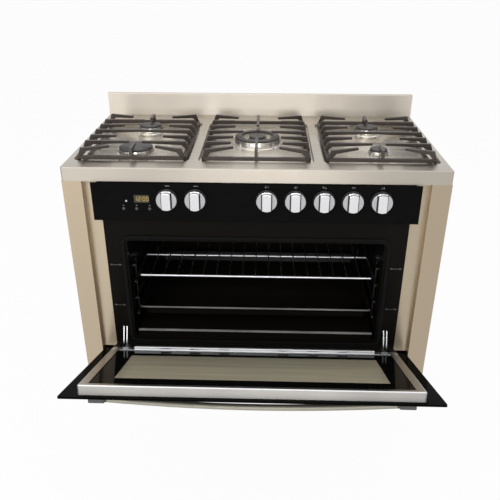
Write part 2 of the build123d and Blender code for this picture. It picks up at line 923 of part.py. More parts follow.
with BuildPart() as oven_floor_plate:
    plate_half = oven_half - floor_margin
    plate_low = oven_bottom + fit_gap
    with BuildSketch(Plane.YZ.offset(-plate_half)):
        with BuildLine():
            outer_fold = FilletPolyline(
                (plate_front, plate_low),
                (plate_front, plate_top),
                (plate_back, plate_top),
                (plate_back, plate_low),
                radius=floor_round,
            )
            inner_fold = FilletPolyline(
                (plate_front + sheet, plate_low),
                (plate_front + sheet, plate_top - sheet),
                (plate_back - sheet, plate_top - sheet),
                (plate_back - sheet, plate_low),
                radius=floor_round - sheet,
            )
            Line(outer_fold @ 0, inner_fold @ 0)
            Line(outer_fold @ 1, inner_fold @ 1)
        make_face()
    extrude(amount=2 * plate_half)
    with BuildSketch(Plane.XY.offset(plate_top)):
        with Locations((0, (plate_front + plate_back) / 2)):
            with GridLocations(2 * (oven_half - flame_slots_in), 1, 2, 1):
                with GridLocations(flame_slot_pitch, flame_slot_row, 2, 3):
                    Ellipse(*flame_slot_half)
    extrude(amount=-sheet, mode=Mode.SUBTRACT)
    block(
        (burner_tail_x - burner_tube - sheet, burner_tail_x + burner_tube + sheet),
        (plate_back - 2 * sheet, plate_back),
        (oven_bottom, plate_top - 2 * sheet),
        mode=Mode.SUBTRACT,
    )
finish(oven_floor_plate, "oven_floor_plate")

with BuildPart() as oven_burner:
    tube_z = oven_bottom + burner_tube + fit_gap
    tube_x = oven_half - burner_tube_in
    tube_near = oven_front + burner_tube_near
    tube_far = oven_back - burner_tube_far
    with BuildLine():
        FilletPolyline(
            (burner_tail_x, oven_back - fit_gap, tube_z),
            (burner_tail_x, tube_far, tube_z),
            (-tube_x, tube_far, tube_z),
            (-tube_x, tube_near, tube_z),
            (tube_x, tube_near, tube_z),
            (tube_x, tube_far, tube_z),
            (-burner_tail_x, tube_far, tube_z),
            radius=2.5 * burner_tube,
        )
    with BuildSketch(Plane(origin=(burner_tail_x, oven_back - fit_gap, tube_z), z_dir=(0, -1, 0))):
        Circle(burner_tube)
    sweep()
finish(oven_burner, "oven_burner")

with BuildPart() as grill_burner:
    grill_y = (oven_front + oven_back) / 2
    grill_top = oven_top - fit_gap
    with BuildSketch(Plane.XY.offset(grill_top)):
        with Locations((0, grill_y)):
            RectangleRounded(grill_width, grill_length, grill_corner)
    extrude(amount=-grill_depth, taper=grill_draft)
    with BuildSketch(Plane.XY.offset(grill_top - grill_depth)):
        with Locations((0, grill_y)):
            with GridLocations(grill_port_pitch, 1, grill_ports, 1):
                SlotOverall(grill_port_length, grill_port_width, rotation=90)
    extrude(amount=grill_port_depth, mode=Mode.SUBTRACT)
finish(grill_burner, "grill_burner")

with BuildPart() as side_racks:
    rack_y = (shelf_y + rack_post_in, shelf_y + shelf_depth - rack_post_in)
    rack_ends = (oven_front + rack_end, oven_back - rack_end)
    for side in (-1, 1):
        for level in range(rack_levels):
            z = rack_level + level * rack_step
            rod((side * rack_wire_x, rack_ends[0], z), (side * rack_wire_x, rack_ends[1], z), wire)
        for y in rack_y:
            low = rack_level - 2 * wire
            high = rack_level + (rack_levels - 1) * rack_step + 2 * wire
            rod((side * rack_post_x, y, low), (side * rack_post_x, y, high), wire)
            for z in (rack_level + rack_step / 2, high - rack_step / 2):
                rod((side * rack_post_x, y, z), (side * (oven_half - running_gap), y, z), wire - rack_weld)
finish(side_racks, "side_racks")

with BuildPart() as wire_shelf:
    shelf_ends = (shelf_y + shelf_bar, shelf_y + shelf_depth - shelf_bar)
    side_x = shelf_half - shelf_bar
    with BuildLine() as outline:
        FilletPolyline(
            (side_x, shelf_ends[0], shelf_z),
            (side_x, shelf_ends[1], shelf_z),
            (-side_x, shelf_ends[1], shelf_z),
            (-side_x, shelf_ends[0], shelf_z),
            radius=3 * shelf_bar,
            close=True,
        )
    with BuildSketch(Plane(origin=outline.line @ 0, z_dir=outline.line % 0)):
        Circle(shelf_bar)
    sweep()
    for share in shelf_crossbars:
        y = shelf_y + share * shelf_depth
        rod((-side_x, y, shelf_z), (side_x, y, shelf_z), shelf_bar - rack_weld)
    with BuildSketch(Plane.XZ.offset(-shelf_ends[0])):
        with Locations((0, shelf_z + shelf_bar * 0.3)):
            with GridLocations(2 * side_x / (shelf_wires + 1), 1, shelf_wires, 1):
                Circle(shelf_wire)
    extrude(amount=shelf_ends[0] - shelf_ends[1])
finish(wire_shelf, "wire_shelf")

with BuildPart() as baking_tray:
    tray_half = rack_wire_x + wire - sheet
    pan_half = rack_wire_x - 2 * wire
    tray_y = (shelf_y + sheet, shelf_y + shelf_depth)
    rim = tray_half - pan_half
    tray_mid = (0, sum(tray_y) / 2)
    tray_length = tray_y[1] - tray_y[0]
    pan_length = tray_length - 2 * rim
    pan_corner = tray_corner + rim
    with BuildSketch(Plane.XY.offset(tray_rim)):
        with Locations(tray_mid):
            RectangleRounded(2 * tray_half, tray_length, tray_corner)
    extrude(amount=sheet)
    with BuildSketch(Plane.XY.offset(tray_rim + sheet)):
        with Locations(tray_mid):
            RectangleRounded(2 * pan_half, pan_length, pan_corner)
    extrude(amount=-tray_drop, taper=tray_draft)
    with BuildSketch(Plane.XY.offset(tray_rim + sheet)):
        with Locations(tray_mid):
            RectangleRounded(2 * pan_half - 2 * sheet, pan_length - 2 * sheet, pan_corner - sheet)
    extrude(amount=sheet - tray_drop, taper=tray_draft, mode=Mode.SUBTRACT)
    with BuildLine() as bead_path:
        bead_x = tray_half - tray_bead
        bead_y = (tray_y[0] + tray_bead, tray_y[1] - tray_bead)
        FilletPolyline(
            (bead_x, bead_y[0], tray_rim + tray_bead),
            (bead_x, bead_y[1], tray_rim + tray_bead),
            (-bead_x, bead_y[1], tray_rim + tray_bead),
            (-bead_x, bead_y[0], tray_rim + tray_bead),
            radius=tray_corner - tray_bead,
            close=True,
        )
    with BuildSketch(Plane(origin=bead_path.line @ 0, z_dir=bead_path.line % 0)):
        Circle(tray_bead)
    sweep()
finish(baking_tray, "baking_tray")

# Hinges: two-plate arms fixed in the oven frame, with the pins that the door turns on
with BuildPart() as hinge_arms:
    for side in (-1, 1):
        arm_x = side * hinge_x - arm_half
        for offset_x in (0, 2 * arm_half - arm_plate):
            with BuildSketch(Plane.YZ.offset(arm_x + offset_x)) as plate:
                with BuildLine():
                    Polyline(
                        (hinge_y - pivot_eye, hinge_height),
                        (frame_face, slot_high - arm_slot_gap),
                        (arm_tail, slot_high - arm_slot_gap),
                        (arm_tail, slot_low + arm_slot_gap),
                        (frame_face, slot_low + arm_slot_gap),
                        (hinge_y + pivot_eye, hinge_height),
                        close=True,
                    )
                make_face()
                with Locations((hinge_y, hinge_height)):
                    Circle(pivot_eye)
            extrude(plate.sketch, amount=arm_plate)
        block(
            (arm_x + sheet, arm_x + 2 * arm_half - sheet),
            (arm_tail - arm_block, arm_tail),
            (slot_low + arm_slot_gap, slot_high - arm_slot_gap),
        )
        pin_half = arm_half + arm_slack + ear
        rod(
            (side * hinge_x - pin_half, hinge_y, hinge_height),
            (side * hinge_x + pin_half, hinge_y, hinge_height),
            pivot_radius,
        )
finish(hinge_arms, "hinge_arms")

# Oven door, drawn where it rests
with BuildPart() as door_glass:
    with BuildSketch(door_plane.offset(-glass_face)):
        with Locations((0, (glass_end - glass_below) / 2)):
            RectangleRounded(2 * glass_half, glass_length, glass_corner)
    extrude(amount=glass_thick)
finish(door_glass, "door_glass")

rail_start = glass_out - sheet
pocket_half = arm_half + arm_slack
bridge_mid = (bridge_start + frame_start - fit_gap / 2) / 2
with BuildPart() as door_base_rail:
    with BuildSketch(door_plane.offset(frame_inner)):
        with Locations((0, (rail_start + frame_start) / 2)):
            Rectangle(2 * frame_half, frame_start - rail_start - fit_gap)
        with Locations((-hinge_x, frame_start / 2), (hinge_x, frame_start / 2)):
            Rectangle(2 * pocket_half, 2 * frame_start, mode=Mode.SUBTRACT)
    extrude(amount=frame_lift - frame_inner - rail_step)
    with BuildSketch(door_plane.offset(frame_inner)):
        with Locations((-hinge_x, bridge_mid), (hinge_x, bridge_mid)):
            Rectangle(2 * pocket_half, frame_start - fit_gap / 2 - bridge_start)
    extrude(amount=bridge_thick)
    with BuildSketch(door_plane.offset(frame_inner)):
        with Locations((0, (rail_start + frame_start) / 2)):
            Rectangle(2 * (hinge_x - pocket_half - 2 * ear), frame_start - rail_start - fit_gap - 2 * sheet)
    extrude(amount=frame_lift - frame_inner - rail_step - sheet, mode=Mode.SUBTRACT)
    for side in (-1, 1):
        for edge in (-1, 1):
            ear_near = side * hinge_x + edge * pocket_half
            ear_low = min(ear_near, ear_near + edge * ear)
            with BuildSketch(Plane.YZ.offset(ear_low)):
                with Locations((hinge_y, hinge_height)):
                    Circle(pivot_eye)
                    with Locations(Location((0, 0), -door_rest)):
                        with Locations((-pivot_eye, 0)):
                            Rectangle(2 * pivot_eye, 2 * pivot_eye)
                    Circle(pivot_radius + running_gap, mode=Mode.SUBTRACT)
            extrude(amount=ear)
finish(door_base_rail, "door_base_rail")

window_low = frame_start + rear_rail
window_high = frame_end - front_flange
frame_mid = (0, (frame_start + frame_end) / 2)
frame_run = frame_end - frame_start
rib_mid = (0, (rib_start + rib_end) / 2)
rib_half = frame_half - rib_inset
with BuildPart() as door_frame:
    with BuildSketch(door_plane.offset(frame_inner)):
        with Locations(frame_mid):
            RectangleRounded(2 * frame_half, frame_run, frame_corner)
    extrude(amount=frame_lift - frame_inner)
    fillet(door_frame.faces().sort_by(Axis(door_plane.origin, inward))[-1].edges(), frame_edge)
    with BuildSketch(door_plane.offset(frame_lift)):
        with Locations(rib_mid):
            Rectangle(2 * rib_half, rib_end - rib_start)
    extrude(amount=rib_rise)
    fillet(door_frame.faces().sort_by(Axis(door_plane.origin, inward))[-1].edges(), rib_edge)
    with BuildSketch(door_plane.offset(frame_inner)):
        with Locations(frame_mid):
            Rectangle(2 * frame_half - 2 * sheet, frame_run - 2 * sheet)
    extrude(amount=frame_lift - frame_inner - sheet, mode=Mode.SUBTRACT)
    with BuildSketch(door_plane.offset(frame_lift - sheet)):
        with Locations(rib_mid):
            Rectangle(2 * rib_half - 2 * sheet, rib_end - rib_start - 2 * sheet)
    extrude(amount=rib_rise, mode=Mode.SUBTRACT)
    with BuildSketch(door_plane.offset(frame_lift)):
        with Locations((0, (window_low + window_high) / 2)):
            RectangleRounded(2 * (frame_half - side_flange), window_high - window_low, window_corner)
    extrude(amount=-2 * sheet, mode=Mode.SUBTRACT)
    vent_origin = door_plane.from_local_coords(Vector(0, rib_end, frame_lift + rib_rise / 2))
    with BuildSketch(Plane(origin=vent_origin, x_dir=(1, 0, 0), z_dir=along)):
        for vent in range(1, vents_each_side + 1):
            with Locations((-vent * vent_pitch, 0), (vent * vent_pitch, 0)):
                SlotOverall(vent_length, vent_width)
    extrude(amount=2 * sheet, both=True, mode=Mode.SUBTRACT)
finish(door_frame, "door_frame")

glass_start = window_low - inner_glass_over
glass_stop = frame_end - sheet - inner_glass_gap
with BuildPart() as door_inner_glass:
    with BuildSketch(door_plane.offset(frame_lift - sheet - fit_gap)):
        with Locations((0, (glass_start + glass_stop) / 2)):
            Rectangle(2 * (frame_half - sheet - inner_glass_gap), glass_stop - glass_start)
    extrude(amount=-inner_glass_thick)
finish(door_inner_glass, "door_inner_glass")

with BuildPart() as door_handle:
    handle_origin = door_plane.from_local_coords(Vector(0, handle_along, 0))
    handle_plane = Plane(origin=handle_origin, x_dir=(1, 0, 0), z_dir=along)
    end_block_x = glass_half - handle_inset - end_block_length / 2
    handle_half = glass_half - handle_inset - handle_tuck
    with BuildLine(handle_plane) as bow:
        ThreePointArc(
            (-handle_half, -handle_end_out),
            (0, -handle_end_out - handle_bow),
            (handle_half, -handle_end_out),
        )
    with BuildSketch(Plane(origin=bow.line @ 0, x_dir=along, z_dir=bow.line % 0)):
        RectangleRounded(handle_wide, handle_thick, handle_round)
    sweep()
    with BuildSketch(door_plane.offset(-glass_face)) as end_blocks:
        with Locations((0, handle_along)):
            with GridLocations(2 * end_block_x, 1, 2, 1):
                RectangleRounded(end_block_length, end_block_wide, end_block_round)
    extrude(end_blocks.sketch, amount=glass_face - end_block_out)
    end_block_faces = door_handle.faces().filter_by(door_plane).sort_by(Axis(door_plane.origin, inward))
    fillet(end_block_faces[:2].edges(), end_block_round / 2)
finish(door_handle, "door_handle")

# Storage drawer on runners that stand on the base
with BuildPart() as drawer_front:
    front_half = seam - drawer_front_gap
    front_plate = front + drawer_front_thick
    block((-front_half, front_half), (front, front_plate), (drawer_front_bottom, drawer_front_top))
    fillet(drawer_front.faces().sort_by(Axis.Y)[0].edges(), drawer_edge)
    block(
        (-front_half + sheet, front_half - sheet),
        (front + sheet, front_plate),
        (drawer_front_bottom + sheet, drawer_front_top - sheet),
        mode=Mode.SUBTRACT,
    )
    with BuildSketch(Plane.XZ.offset(-front)):
        with Locations((0, drawer_front_top - drawer_grip_drop)):
            SlotOverall(drawer_grip_length, drawer_grip_width)
    extrude(amount=-sheet, mode=Mode.SUBTRACT)
finish(drawer_front, "drawer_front")

with BuildPart() as drawer_box:
    box_y = (front + sheet, front + sheet + drawer_depth)
    block((-drawer_half, drawer_half), box_y, (drawer_floor_z, drawer_lip_z))
    block(
        (-drawer_half - drawer_lip, drawer_half + drawer_lip),
        box_y,
        (drawer_lip_z, drawer_lip_z + sheet),
    )
    block(
        (-drawer_half + sheet, drawer_half - sheet),
        (box_y[0] + sheet, box_y[1] - sheet),
        (drawer_floor_z + sheet, drawer_lip_z + sheet),
        mode=Mode.SUBTRACT,
    )
finish(drawer_box, "drawer_box")

with BuildPart() as drawer_runners:
    ledge_top = drawer_lip_z - fit_gap
    web = drawer_half + drawer_lip + runner_gap
    for side in (-1, 1):
        with BuildSketch(Plane.XZ.offset(-(front + column_depth + 2 * sheet))) as runner:
            with BuildLine():
                Polyline(
                    (side * (drawer_half + runner_gap), ledge_top),
                    (side * (web + sheet), ledge_top),
                    (side * (web + sheet), pan_top),
                    (side * (web - drawer_lip), pan_top),
                    (side * (web - drawer_lip), pan_top + sheet),
                    (side * web, pan_top + sheet),
                    (side * web, ledge_top - sheet),
                    (side * (drawer_half + runner_gap), ledge_top - sheet),
                    close=True,
                )
            make_face()
        extrude(runner.sketch, amount=-drawer_depth)
finish(drawer_runners, "drawer_runners")

# Feet and the power cable's gland
with BuildPart() as levelling_feet:
    for x in (-foot_x, foot_x):
        for y in (front + foot_front, front + foot_rear):
            turned(x, y, [
                (0, 0),
                (foot_radius - foot_edge, 0),
                (foot_radius, foot_edge),
                (foot_radius, foot_pad),
                (leg_radius, foot_pad + foot_slope),
                (leg_radius, leg_height),
                (0, leg_height),
            ])
finish(levelling_feet, "levelling_feet")

with BuildPart() as cable_gland:
    gland_y = rear_plate + sheet
    turned_forward(gland_x, gland_z, [
        (gland_bore, gland_y),
        (gland_radius, gland_y),
        (gland_radius, gland_y + gland_nut),
        (gland_radius - gland_step, gland_y + gland_nut + sheet),
        (gland_radius - gland_step, gland_y + gland_nose),
        (gland_bore, gland_y + gland_nose),
    ])
finish(cable_gland, "cable_gland")
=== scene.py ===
"""Looks for a free-standing gas cooker, put around its packed construction."""

import json
import math

import bmesh
import bpy
from mathutils import Matrix, Vector


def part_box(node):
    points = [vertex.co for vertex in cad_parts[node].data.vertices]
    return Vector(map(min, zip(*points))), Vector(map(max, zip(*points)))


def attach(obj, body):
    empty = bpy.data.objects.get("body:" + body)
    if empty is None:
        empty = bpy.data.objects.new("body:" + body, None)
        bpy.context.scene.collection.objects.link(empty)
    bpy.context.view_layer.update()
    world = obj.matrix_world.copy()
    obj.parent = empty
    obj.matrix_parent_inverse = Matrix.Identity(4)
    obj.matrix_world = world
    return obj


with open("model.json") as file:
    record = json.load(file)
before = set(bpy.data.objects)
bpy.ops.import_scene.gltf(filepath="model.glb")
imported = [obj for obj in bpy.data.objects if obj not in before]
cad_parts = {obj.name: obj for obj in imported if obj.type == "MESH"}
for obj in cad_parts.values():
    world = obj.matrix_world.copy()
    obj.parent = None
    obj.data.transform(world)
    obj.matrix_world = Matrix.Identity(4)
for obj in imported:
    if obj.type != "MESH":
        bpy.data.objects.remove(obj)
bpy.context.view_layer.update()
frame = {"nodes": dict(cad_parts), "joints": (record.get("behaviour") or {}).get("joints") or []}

bl_info = {
    "name": "Gas cooker looks",
    "version": (1, 0, 0),
    "blender": (4, 5, 0),
    "location": "3D View > Sidebar > Cooker",
    "description": "Finishes, printed marks, small fasteners and a studio for a free-standing gas cooker",
    "category": "Object",
}

X, Y, Z = 0, 1, 2
FORWARD, BACKWARD, UPWARD = Vector((0, -1, 0)), Vector((0, 1, 0)), Vector((0, 0, 1))
WHITE, BLACK = (1.0, 1.0, 1.0, 1.0), (0.0, 0.0, 0.0, 1.0)

KNOBS = [f"knob_{i}" for i in range(1, 8)]
SPINDLES = [f"tap_spindle_{i}" for i in range(1, 8)]
BUTTONS = [f"clock_button_{i}" for i in range(1, 4)]
OVEN_KNOBS = 2


# Settings


def colour_setting(name, description, default):
    """A colour that can be changed in the sidebar."""
    return bpy.props.FloatVectorProperty(
        name=name, description=description, subtype="COLOR", size=3, min=0.0, max=1.0, default=default
    )


def length_setting(name, description, default):
    """A length that can be changed in the sidebar."""
    return bpy.props.FloatProperty(
        name=name, description=description, unit="LENGTH", subtype="DISTANCE", default=default
    )


def pair_setting(name, description, default):
    """Two lengths that belong together."""
    return bpy.props.FloatVectorProperty(
        name=name, description=description, unit="LENGTH", size=2, precision=4, default=default
    )


def angle_setting(name, description, default):
    """An angle that can be changed in the sidebar."""
    return bpy.props.FloatProperty(name=name, description=description, subtype="ANGLE", default=default)


def power_setting(name, description, default):
    """A lamp's power that can be changed in the sidebar."""
    return bpy.props.FloatProperty(name=name, description=description, unit="POWER", default=default)


class CookerFinishes(bpy.types.PropertyGroup):
    """Colours of the cooker's materials."""

    steel: colour_setting("Steel", "Warm brushed steel of the cabinet", (0.48, 0.395, 0.29))
    steel_shade: colour_setting("Steel shade", "Darker streaks in the cabinet", (0.395, 0.325, 0.238))
    column: colour_setting("Column steel", "Brushed steel of the front columns", (0.5, 0.42, 0.31))
    column_shade: colour_setting("Column shade", "Darker streaks in the columns", (0.42, 0.352, 0.26))
    hob: colour_setting("Hob steel", "Brushed steel of the hob", (0.525, 0.48, 0.415))
    hob_shade: colour_setting("Hob shade", "Darker streaks in the hob", (0.42, 0.384, 0.332))
    # The backguard's steel is a lighter copy of the hob's steel, as painted light
    guard: colour_setting("Backguard steel", "Lighter steel of the backguard", (0.61, 0.562, 0.495))
    guard_shade: colour_setting("Backguard shade", "Darker streaks in the backguard", (0.5, 0.46, 0.402))
    door: colour_setting("Door steel", "Cooler brushed steel of the door's frame", (0.42, 0.405, 0.385))
    door_shade: colour_setting("Door shade", "Darker streaks in the door's frame", (0.32, 0.31, 0.295))
    # Painted highlight on the door's rib near the hinges and on the fold at its front edge
    door_rib_highlight: colour_setting("Door rib", "Bright rib of the door near its hinges", (0.78, 0.79, 0.8))
    # The handle's olive tone is painted reflection of its surroundings on satin steel
    handle: colour_setting("Handle", "Satin steel of the door's handle", (0.36, 0.345, 0.285))
    handle_shade: colour_setting("Handle shade", "Darker streaks in the handle", (0.28, 0.27, 0.22))
    handle_end: colour_setting("Handle end", "Dark blocks at the handle's ends", (0.07, 0.066, 0.066))
    plated: colour_setting("Plated sheet", "Zinc-plated sheet of the hidden panels", (0.56, 0.57, 0.58))
    glass: colour_setting("Black glass", "Printed glass of panel and door", (0.0036, 0.0036, 0.0035))
    inner_tint: colour_setting("Inner pane", "Olive tint of the inner window", (0.52, 0.5, 0.37))
    outer_tint: colour_setting("Outer pane", "Smoky tint of the outer window", (0.05, 0.05, 0.04))
    enamel: colour_setting("Black enamel", "Vitreous enamel of the oven", (0.0055, 0.0048, 0.0036))
    # Painted highlight along the front rims of the tray and the oven's floor plate
    rim_highlight: colour_setting("Worn enamel", "Enamel rubbed pale along a rim", (0.36, 0.35, 0.335))
    support: colour_setting("Pan support", "Brown-grey enamel of the supports", (0.046, 0.035, 0.0295))
    cap: colour_setting("Burner cap", "Matt enamel of the burner caps", (0.04, 0.035, 0.032))
    alloy: colour_setting("Burner alloy", "Cast alloy of the burner crowns", (0.74, 0.71, 0.66))
    chrome: colour_setting("Chromed wire", "Bright bars of the shelf", (0.82, 0.82, 0.84))
    # The side racks' wire is darkened with painted shade
    shaded_rack: colour_setting("Rack wire", "Darkened wire of the side racks", (0.09, 0.09, 0.095))
    burner_tube: colour_setting("Burner tube", "Heated steel of the oven's burners", (0.2, 0.19, 0.18))
    clip: colour_setting("Clip", "Dull steel of the clips on the oven's front", (0.12, 0.12, 0.115))
    knob: colour_setting("Knob", "Silver plating of the knobs", (0.86, 0.86, 0.88))
    # Painted shade in dark grooves beside each knob's grip
    groove_shade: colour_setting("Knob groove", "Dark grooves beside a knob's grip", (0.012, 0.012, 0.012))
    brass: colour_setting("Brass", "Gas taps and the gas inlet", (0.62, 0.46, 0.2))
    ceramic: colour_setting("Ceramic", "Insulators of the spark electrodes", (0.78, 0.75, 0.7))
    plastic: colour_setting("Dark plastic", "Moulded clock, feet and gland", (0.02, 0.02, 0.021))
    button: colour_setting("Button", "Moulded buttons of the clock", (0.06, 0.06, 0.065))
    seal: colour_setting("Seal", "Woven seal round the oven mouth", (0.007, 0.007, 0.007))
    wool: colour_setting("Glass wool", "Matted insulation round the oven", (0.62, 0.55, 0.36))
    amber: colour_setting("Amber light", "Lit digits of the clock", (0.5, 0.36, 0.1))
    pilot: colour_setting("Pilot lens", "Pale lens of the pilot lamp", (0.4, 0.42, 0.43))
    pilot_light: colour_setting("Pilot light", "Light of the pilot lamp", (0.62, 0.66, 0.68))
    print_white: colour_setting("Printed mark", "Pale print on the control panel", (0.3, 0.3, 0.31))


class CookerDetails(bpy.types.PropertyGroup):
    """Sizes and places of the small things that are dressed onto the cooker."""

    print_rise: length_setting("Print rise", "How far a printed mark stands off the glass", 0.0002)
    mark_above: length_setting("Mark height", "From a knob's middle up to its printed mark", 0.0355)
    dot: length_setting("Dot radius", "Radius of one printed dot", 0.0011)
    digit: length_setting("Digit height", "Height of one digit of the clock", 0.011)
    clock_spot: pair_setting("Clock place", "Across and up to the clock window's middle", (-0.295, 0.768))
    clock_size: pair_setting("Clock window", "Width and height of the clock's window", (0.036, 0.018))
    pilot_spot: pair_setting("Pilot place", "Across and up to the pilot lamp's middle", (-0.335, 0.762))
    pilot_radius: length_setting("Pilot radius", "Radius of the pilot lamp's lens", 0.0027)
    screw: length_setting("Screw head", "Radius of a panel screw's head", 0.004)
    well_edge: length_setting("Well edge", "Height that the hob's wells lie below", 0.846)
    # The painted rim highlight reaches this far down and back
    rim_depth: length_setting("Worn rim depth", "How far down a worn rim reaches", 0.0045)
    rim_reach: length_setting("Worn rim reach", "How far back a worn rim reaches", 0.005)
    window_half: length_setting("Window half width", "From the door's middle to the window's side", 0.33)
    window_span: pair_setting("Window span", "From the hinge to the window's two ends", (0.137, 0.331))
    rib_span: pair_setting("Rib span", "From the hinge to the bright rib's two sides", (0.06, 0.09))
    front_part: length_setting("Front part", "From the hinge to the door's front part", 0.3)
    fold_start: length_setting("Fold start", "From the hinge to the fold at the front edge", 0.389)
    handle_half: length_setting("Handle half", "From the handle's middle to an end block", 0.345)
    clip_out: length_setting("Clip place", "From the oven's middle to a clip's middle", 0.388)
    clip_heights: pair_setting("Clip heights", "Heights of the lower and upper clips", (0.428, 0.559))
    clip_size: pair_setting("Clip size", "Length and width of a clip", (0.033, 0.0022))
    clip_rise: length_setting("Clip rise", "How far a clip stands off the oven's front", 0.0012)
    clip_screw: length_setting("Clip screw", "Radius of a clip screw's head", 0.003)
    clip_screw_out: length_setting("Clip screw place", "From a clip's middle to its screws", 0.012)


class CookerStudio(bpy.types.PropertyGroup):
    """The camera and the lamps."""

    lens: bpy.props.FloatProperty(
        name="Lens", description="Focal length on a 36 mm sensor", default=43.42, unit="CAMERA"
    )
    place: bpy.props.FloatVectorProperty(
        name="Camera place", description="Where the camera stands", subtype="XYZ", unit="LENGTH", size=3,
        default=(0.02963, -1.55952, 1.35010),
    )
    yaw: angle_setting("Yaw", "Camera turn about the upright", -0.02963)
    pitch: angle_setting("Pitch", "Camera tilt downwards", 0.46470)
    roll: angle_setting("Roll", "Camera turn about its view", -0.00176)
    key: power_setting("Key lamp", "Power of the soft lamp at the front left", 32.0)
    front: power_setting("Front lamp", "Power of the wide lamp in front", 18.0)
    fill: power_setting("Fill lamp", "Power of the soft lamp at the front right", 3.0)
    top: power_setting("Top lamp", "Power of the soft lamp overhead", 15.0)
    room: bpy.props.FloatProperty(
        name="Room light", description="Strength of the light from all round", subtype="FACTOR", default=0.5
    )


# Materials are put together from nodes

NOISE_MIDDLE = 0.5

# How often a noise is laid over itself, finer each time
FLAT, PLAIN, FINE, MATTED = 1.0, 2.0, 3.0, 4.0


class Shade:
    """One socket of a finish; sums written with it add Math nodes."""

    def __init__(self, finish, socket):
        self.finish = finish
        self.socket = socket

    def maths(self, operation, first, second):
        """One Math node on two values, either of which may be a number."""
        return self.finish.node("ShaderNodeMath", {"operation": operation}, {0: first, 1: second})

    def __add__(self, other):
        return self.maths("ADD", self, other)

    def __radd__(self, other):
        return self.maths("ADD", other, self)

    def __sub__(self, other):
        return self.maths("SUBTRACT", self, other)

    def __rsub__(self, other):
        return self.maths("SUBTRACT", other, self)

    def __mul__(self, other):
        return self.maths("MULTIPLY", self, other)

    def __rmul__(self, other):
        return self.maths("MULTIPLY", other, self)

    def __lt__(self, other):
        return self.maths("LESS_THAN", self, other)

    def __gt__(self, other):
        return self.maths("GREATER_THAN", self, other)

    def __abs__(self):
        return self.maths("ABSOLUTE", self, 0.0)

    def larger(self, other):
        """The larger of two values."""
        return self.maths("MAXIMUM", self, other)

    def blend(self, other, share):
        """This value with a share of another in it."""
        return self * (1.0 - share) + other * share

    def wander(self, reach):
        """A noise turned into a change that goes either way."""
        return (self - NOISE_MIDDLE) * reach


def rgba(colour, gain=1.0):
    """A four-part colour from a three-part one."""
    return tuple(min(1.0, c * gain) for c in colour) + (1.0,)


class Finish:
    """The nodes of one material, or of the room, while they are put together."""

    def __init__(self, owner):
        owner.use_nodes = True
        self.owner = owner
        self.tree = owner.node_tree
        self.tree.nodes.clear()

    def node(self, kind, settings=None, inputs=None, output=0):
        """Add a node, set it up, feed its sockets and give back one of its outputs."""
        made = self.tree.nodes.new(kind)
        for key, value in (settings or {}).items():
            setattr(made, key, value)
        for key, value in (inputs or {}).items():
            if isinstance(value, Shade):
                self.tree.links.new(value.socket, made.inputs[key])
            else:
                made.inputs[key].default_value = value
        return Shade(self, made.outputs[output]) if len(made.outputs) else made

    def place(self, output="Object"):
        """Where on the cooker a point lies."""
        return self.node("ShaderNodeTexCoord", output=output)

    def axis(self, vector, which):
        """One part of a vector."""
        return self.node("ShaderNodeSeparateXYZ", {}, {"Vector": vector}, which)

    def facing(self, which):
        """How far the surface faces along one axis."""
        return self.axis(self.place("Normal"), which)

    def noise(self, cells, detail=PLAIN):
        """Noise with so many cells in a metre; three numbers give them for X, Y and Z."""
        scale = cells if isinstance(cells, tuple) else (cells, cells, cells)
        spot = self.node("ShaderNodeMapping", {}, {"Vector": self.place(), "Scale": scale})
        return self.node("ShaderNodeTexNoise", {}, {"Vector": spot, "Scale": 1.0, "Detail": detail})

    def mix(self, factor, first, second):
        """A colour between two others."""
        return self.node("ShaderNodeMix", {"data_type": "RGBA"}, {0: factor, 6: first, 7: second}, 2)

    def tones(self, share, colour, low, high):
        """A colour between a darker and a lighter tone of itself."""
        return self.mix(share, rgba(colour, low), rgba(colour, high))

    def bump(self, height, distance, strength):
        """A bumpy surface's normal."""
        return self.node(
            "ShaderNodeBump", {}, {"Height": height, "Distance": distance, "Strength": strength}, "Normal"
        )

    def close(self, inputs):
        """Finish with one principled shader."""
        shader = self.node("ShaderNodeBsdfPrincipled", {}, inputs)
        self.node("ShaderNodeOutputMaterial", {}, {"Surface": shader})
        return self.owner


def new_finish(name):
    """Begin a material."""
    return Finish(bpy.data.materials.new(name))


# Brushed sheet metal; cells of noise are counted in a metre, bumps are a depth and a strength

ALONG_BRUSH, ACROSS_BRUSH = 6.0, 700.0
STEEL_CLOUDS = 4.0
REFLECTION_BANDED, UNBROKEN = 16.0, 0.4
STREAK_SHARE, CLOUD_SHARE, REFLECTION_BAND_SHARE = 0.45, 0.25, 0.3
STREAK_WANDER, CLOUD_WANDER = 0.16, 0.08
BRUSH_BUMP = (0.00004, 0.35)
SHINE_TURN = 0.25

# How far a surface has to face up, and how bright the hob is on its sides, on its deck with painted shade
# and in its wells with painted light
FACING_UP = 0.9
SIDE_LEVEL, SHADED_DECK_LEVEL, LIT_WELL_LEVEL = 1.0, 0.98, 1.22


def streaks_along(finish, *axes):
    """Fine streaks that run along the given axes."""
    cells = tuple(ALONG_BRUSH if axis in axes else ACROSS_BRUSH for axis in (X, Y, Z))
    return finish.noise(cells, FINE)


def brushing(finish, *axes):
    """Streaks and clouds of brushed sheet, and the share of light steel that they and wide bands of painted
    reflection give.
    """
    streaks = streaks_along(finish, *axes)
    clouds = finish.noise(STEEL_CLOUDS)
    # Wide soft bands of painted reflection, lighter and darker across the sheet
    bands = finish.noise((REFLECTION_BANDED, REFLECTION_BANDED if Y in axes else UNBROKEN, UNBROKEN))
    return streaks, clouds, streaks * STREAK_SHARE + clouds * CLOUD_SHARE + bands * REFLECTION_BAND_SHARE


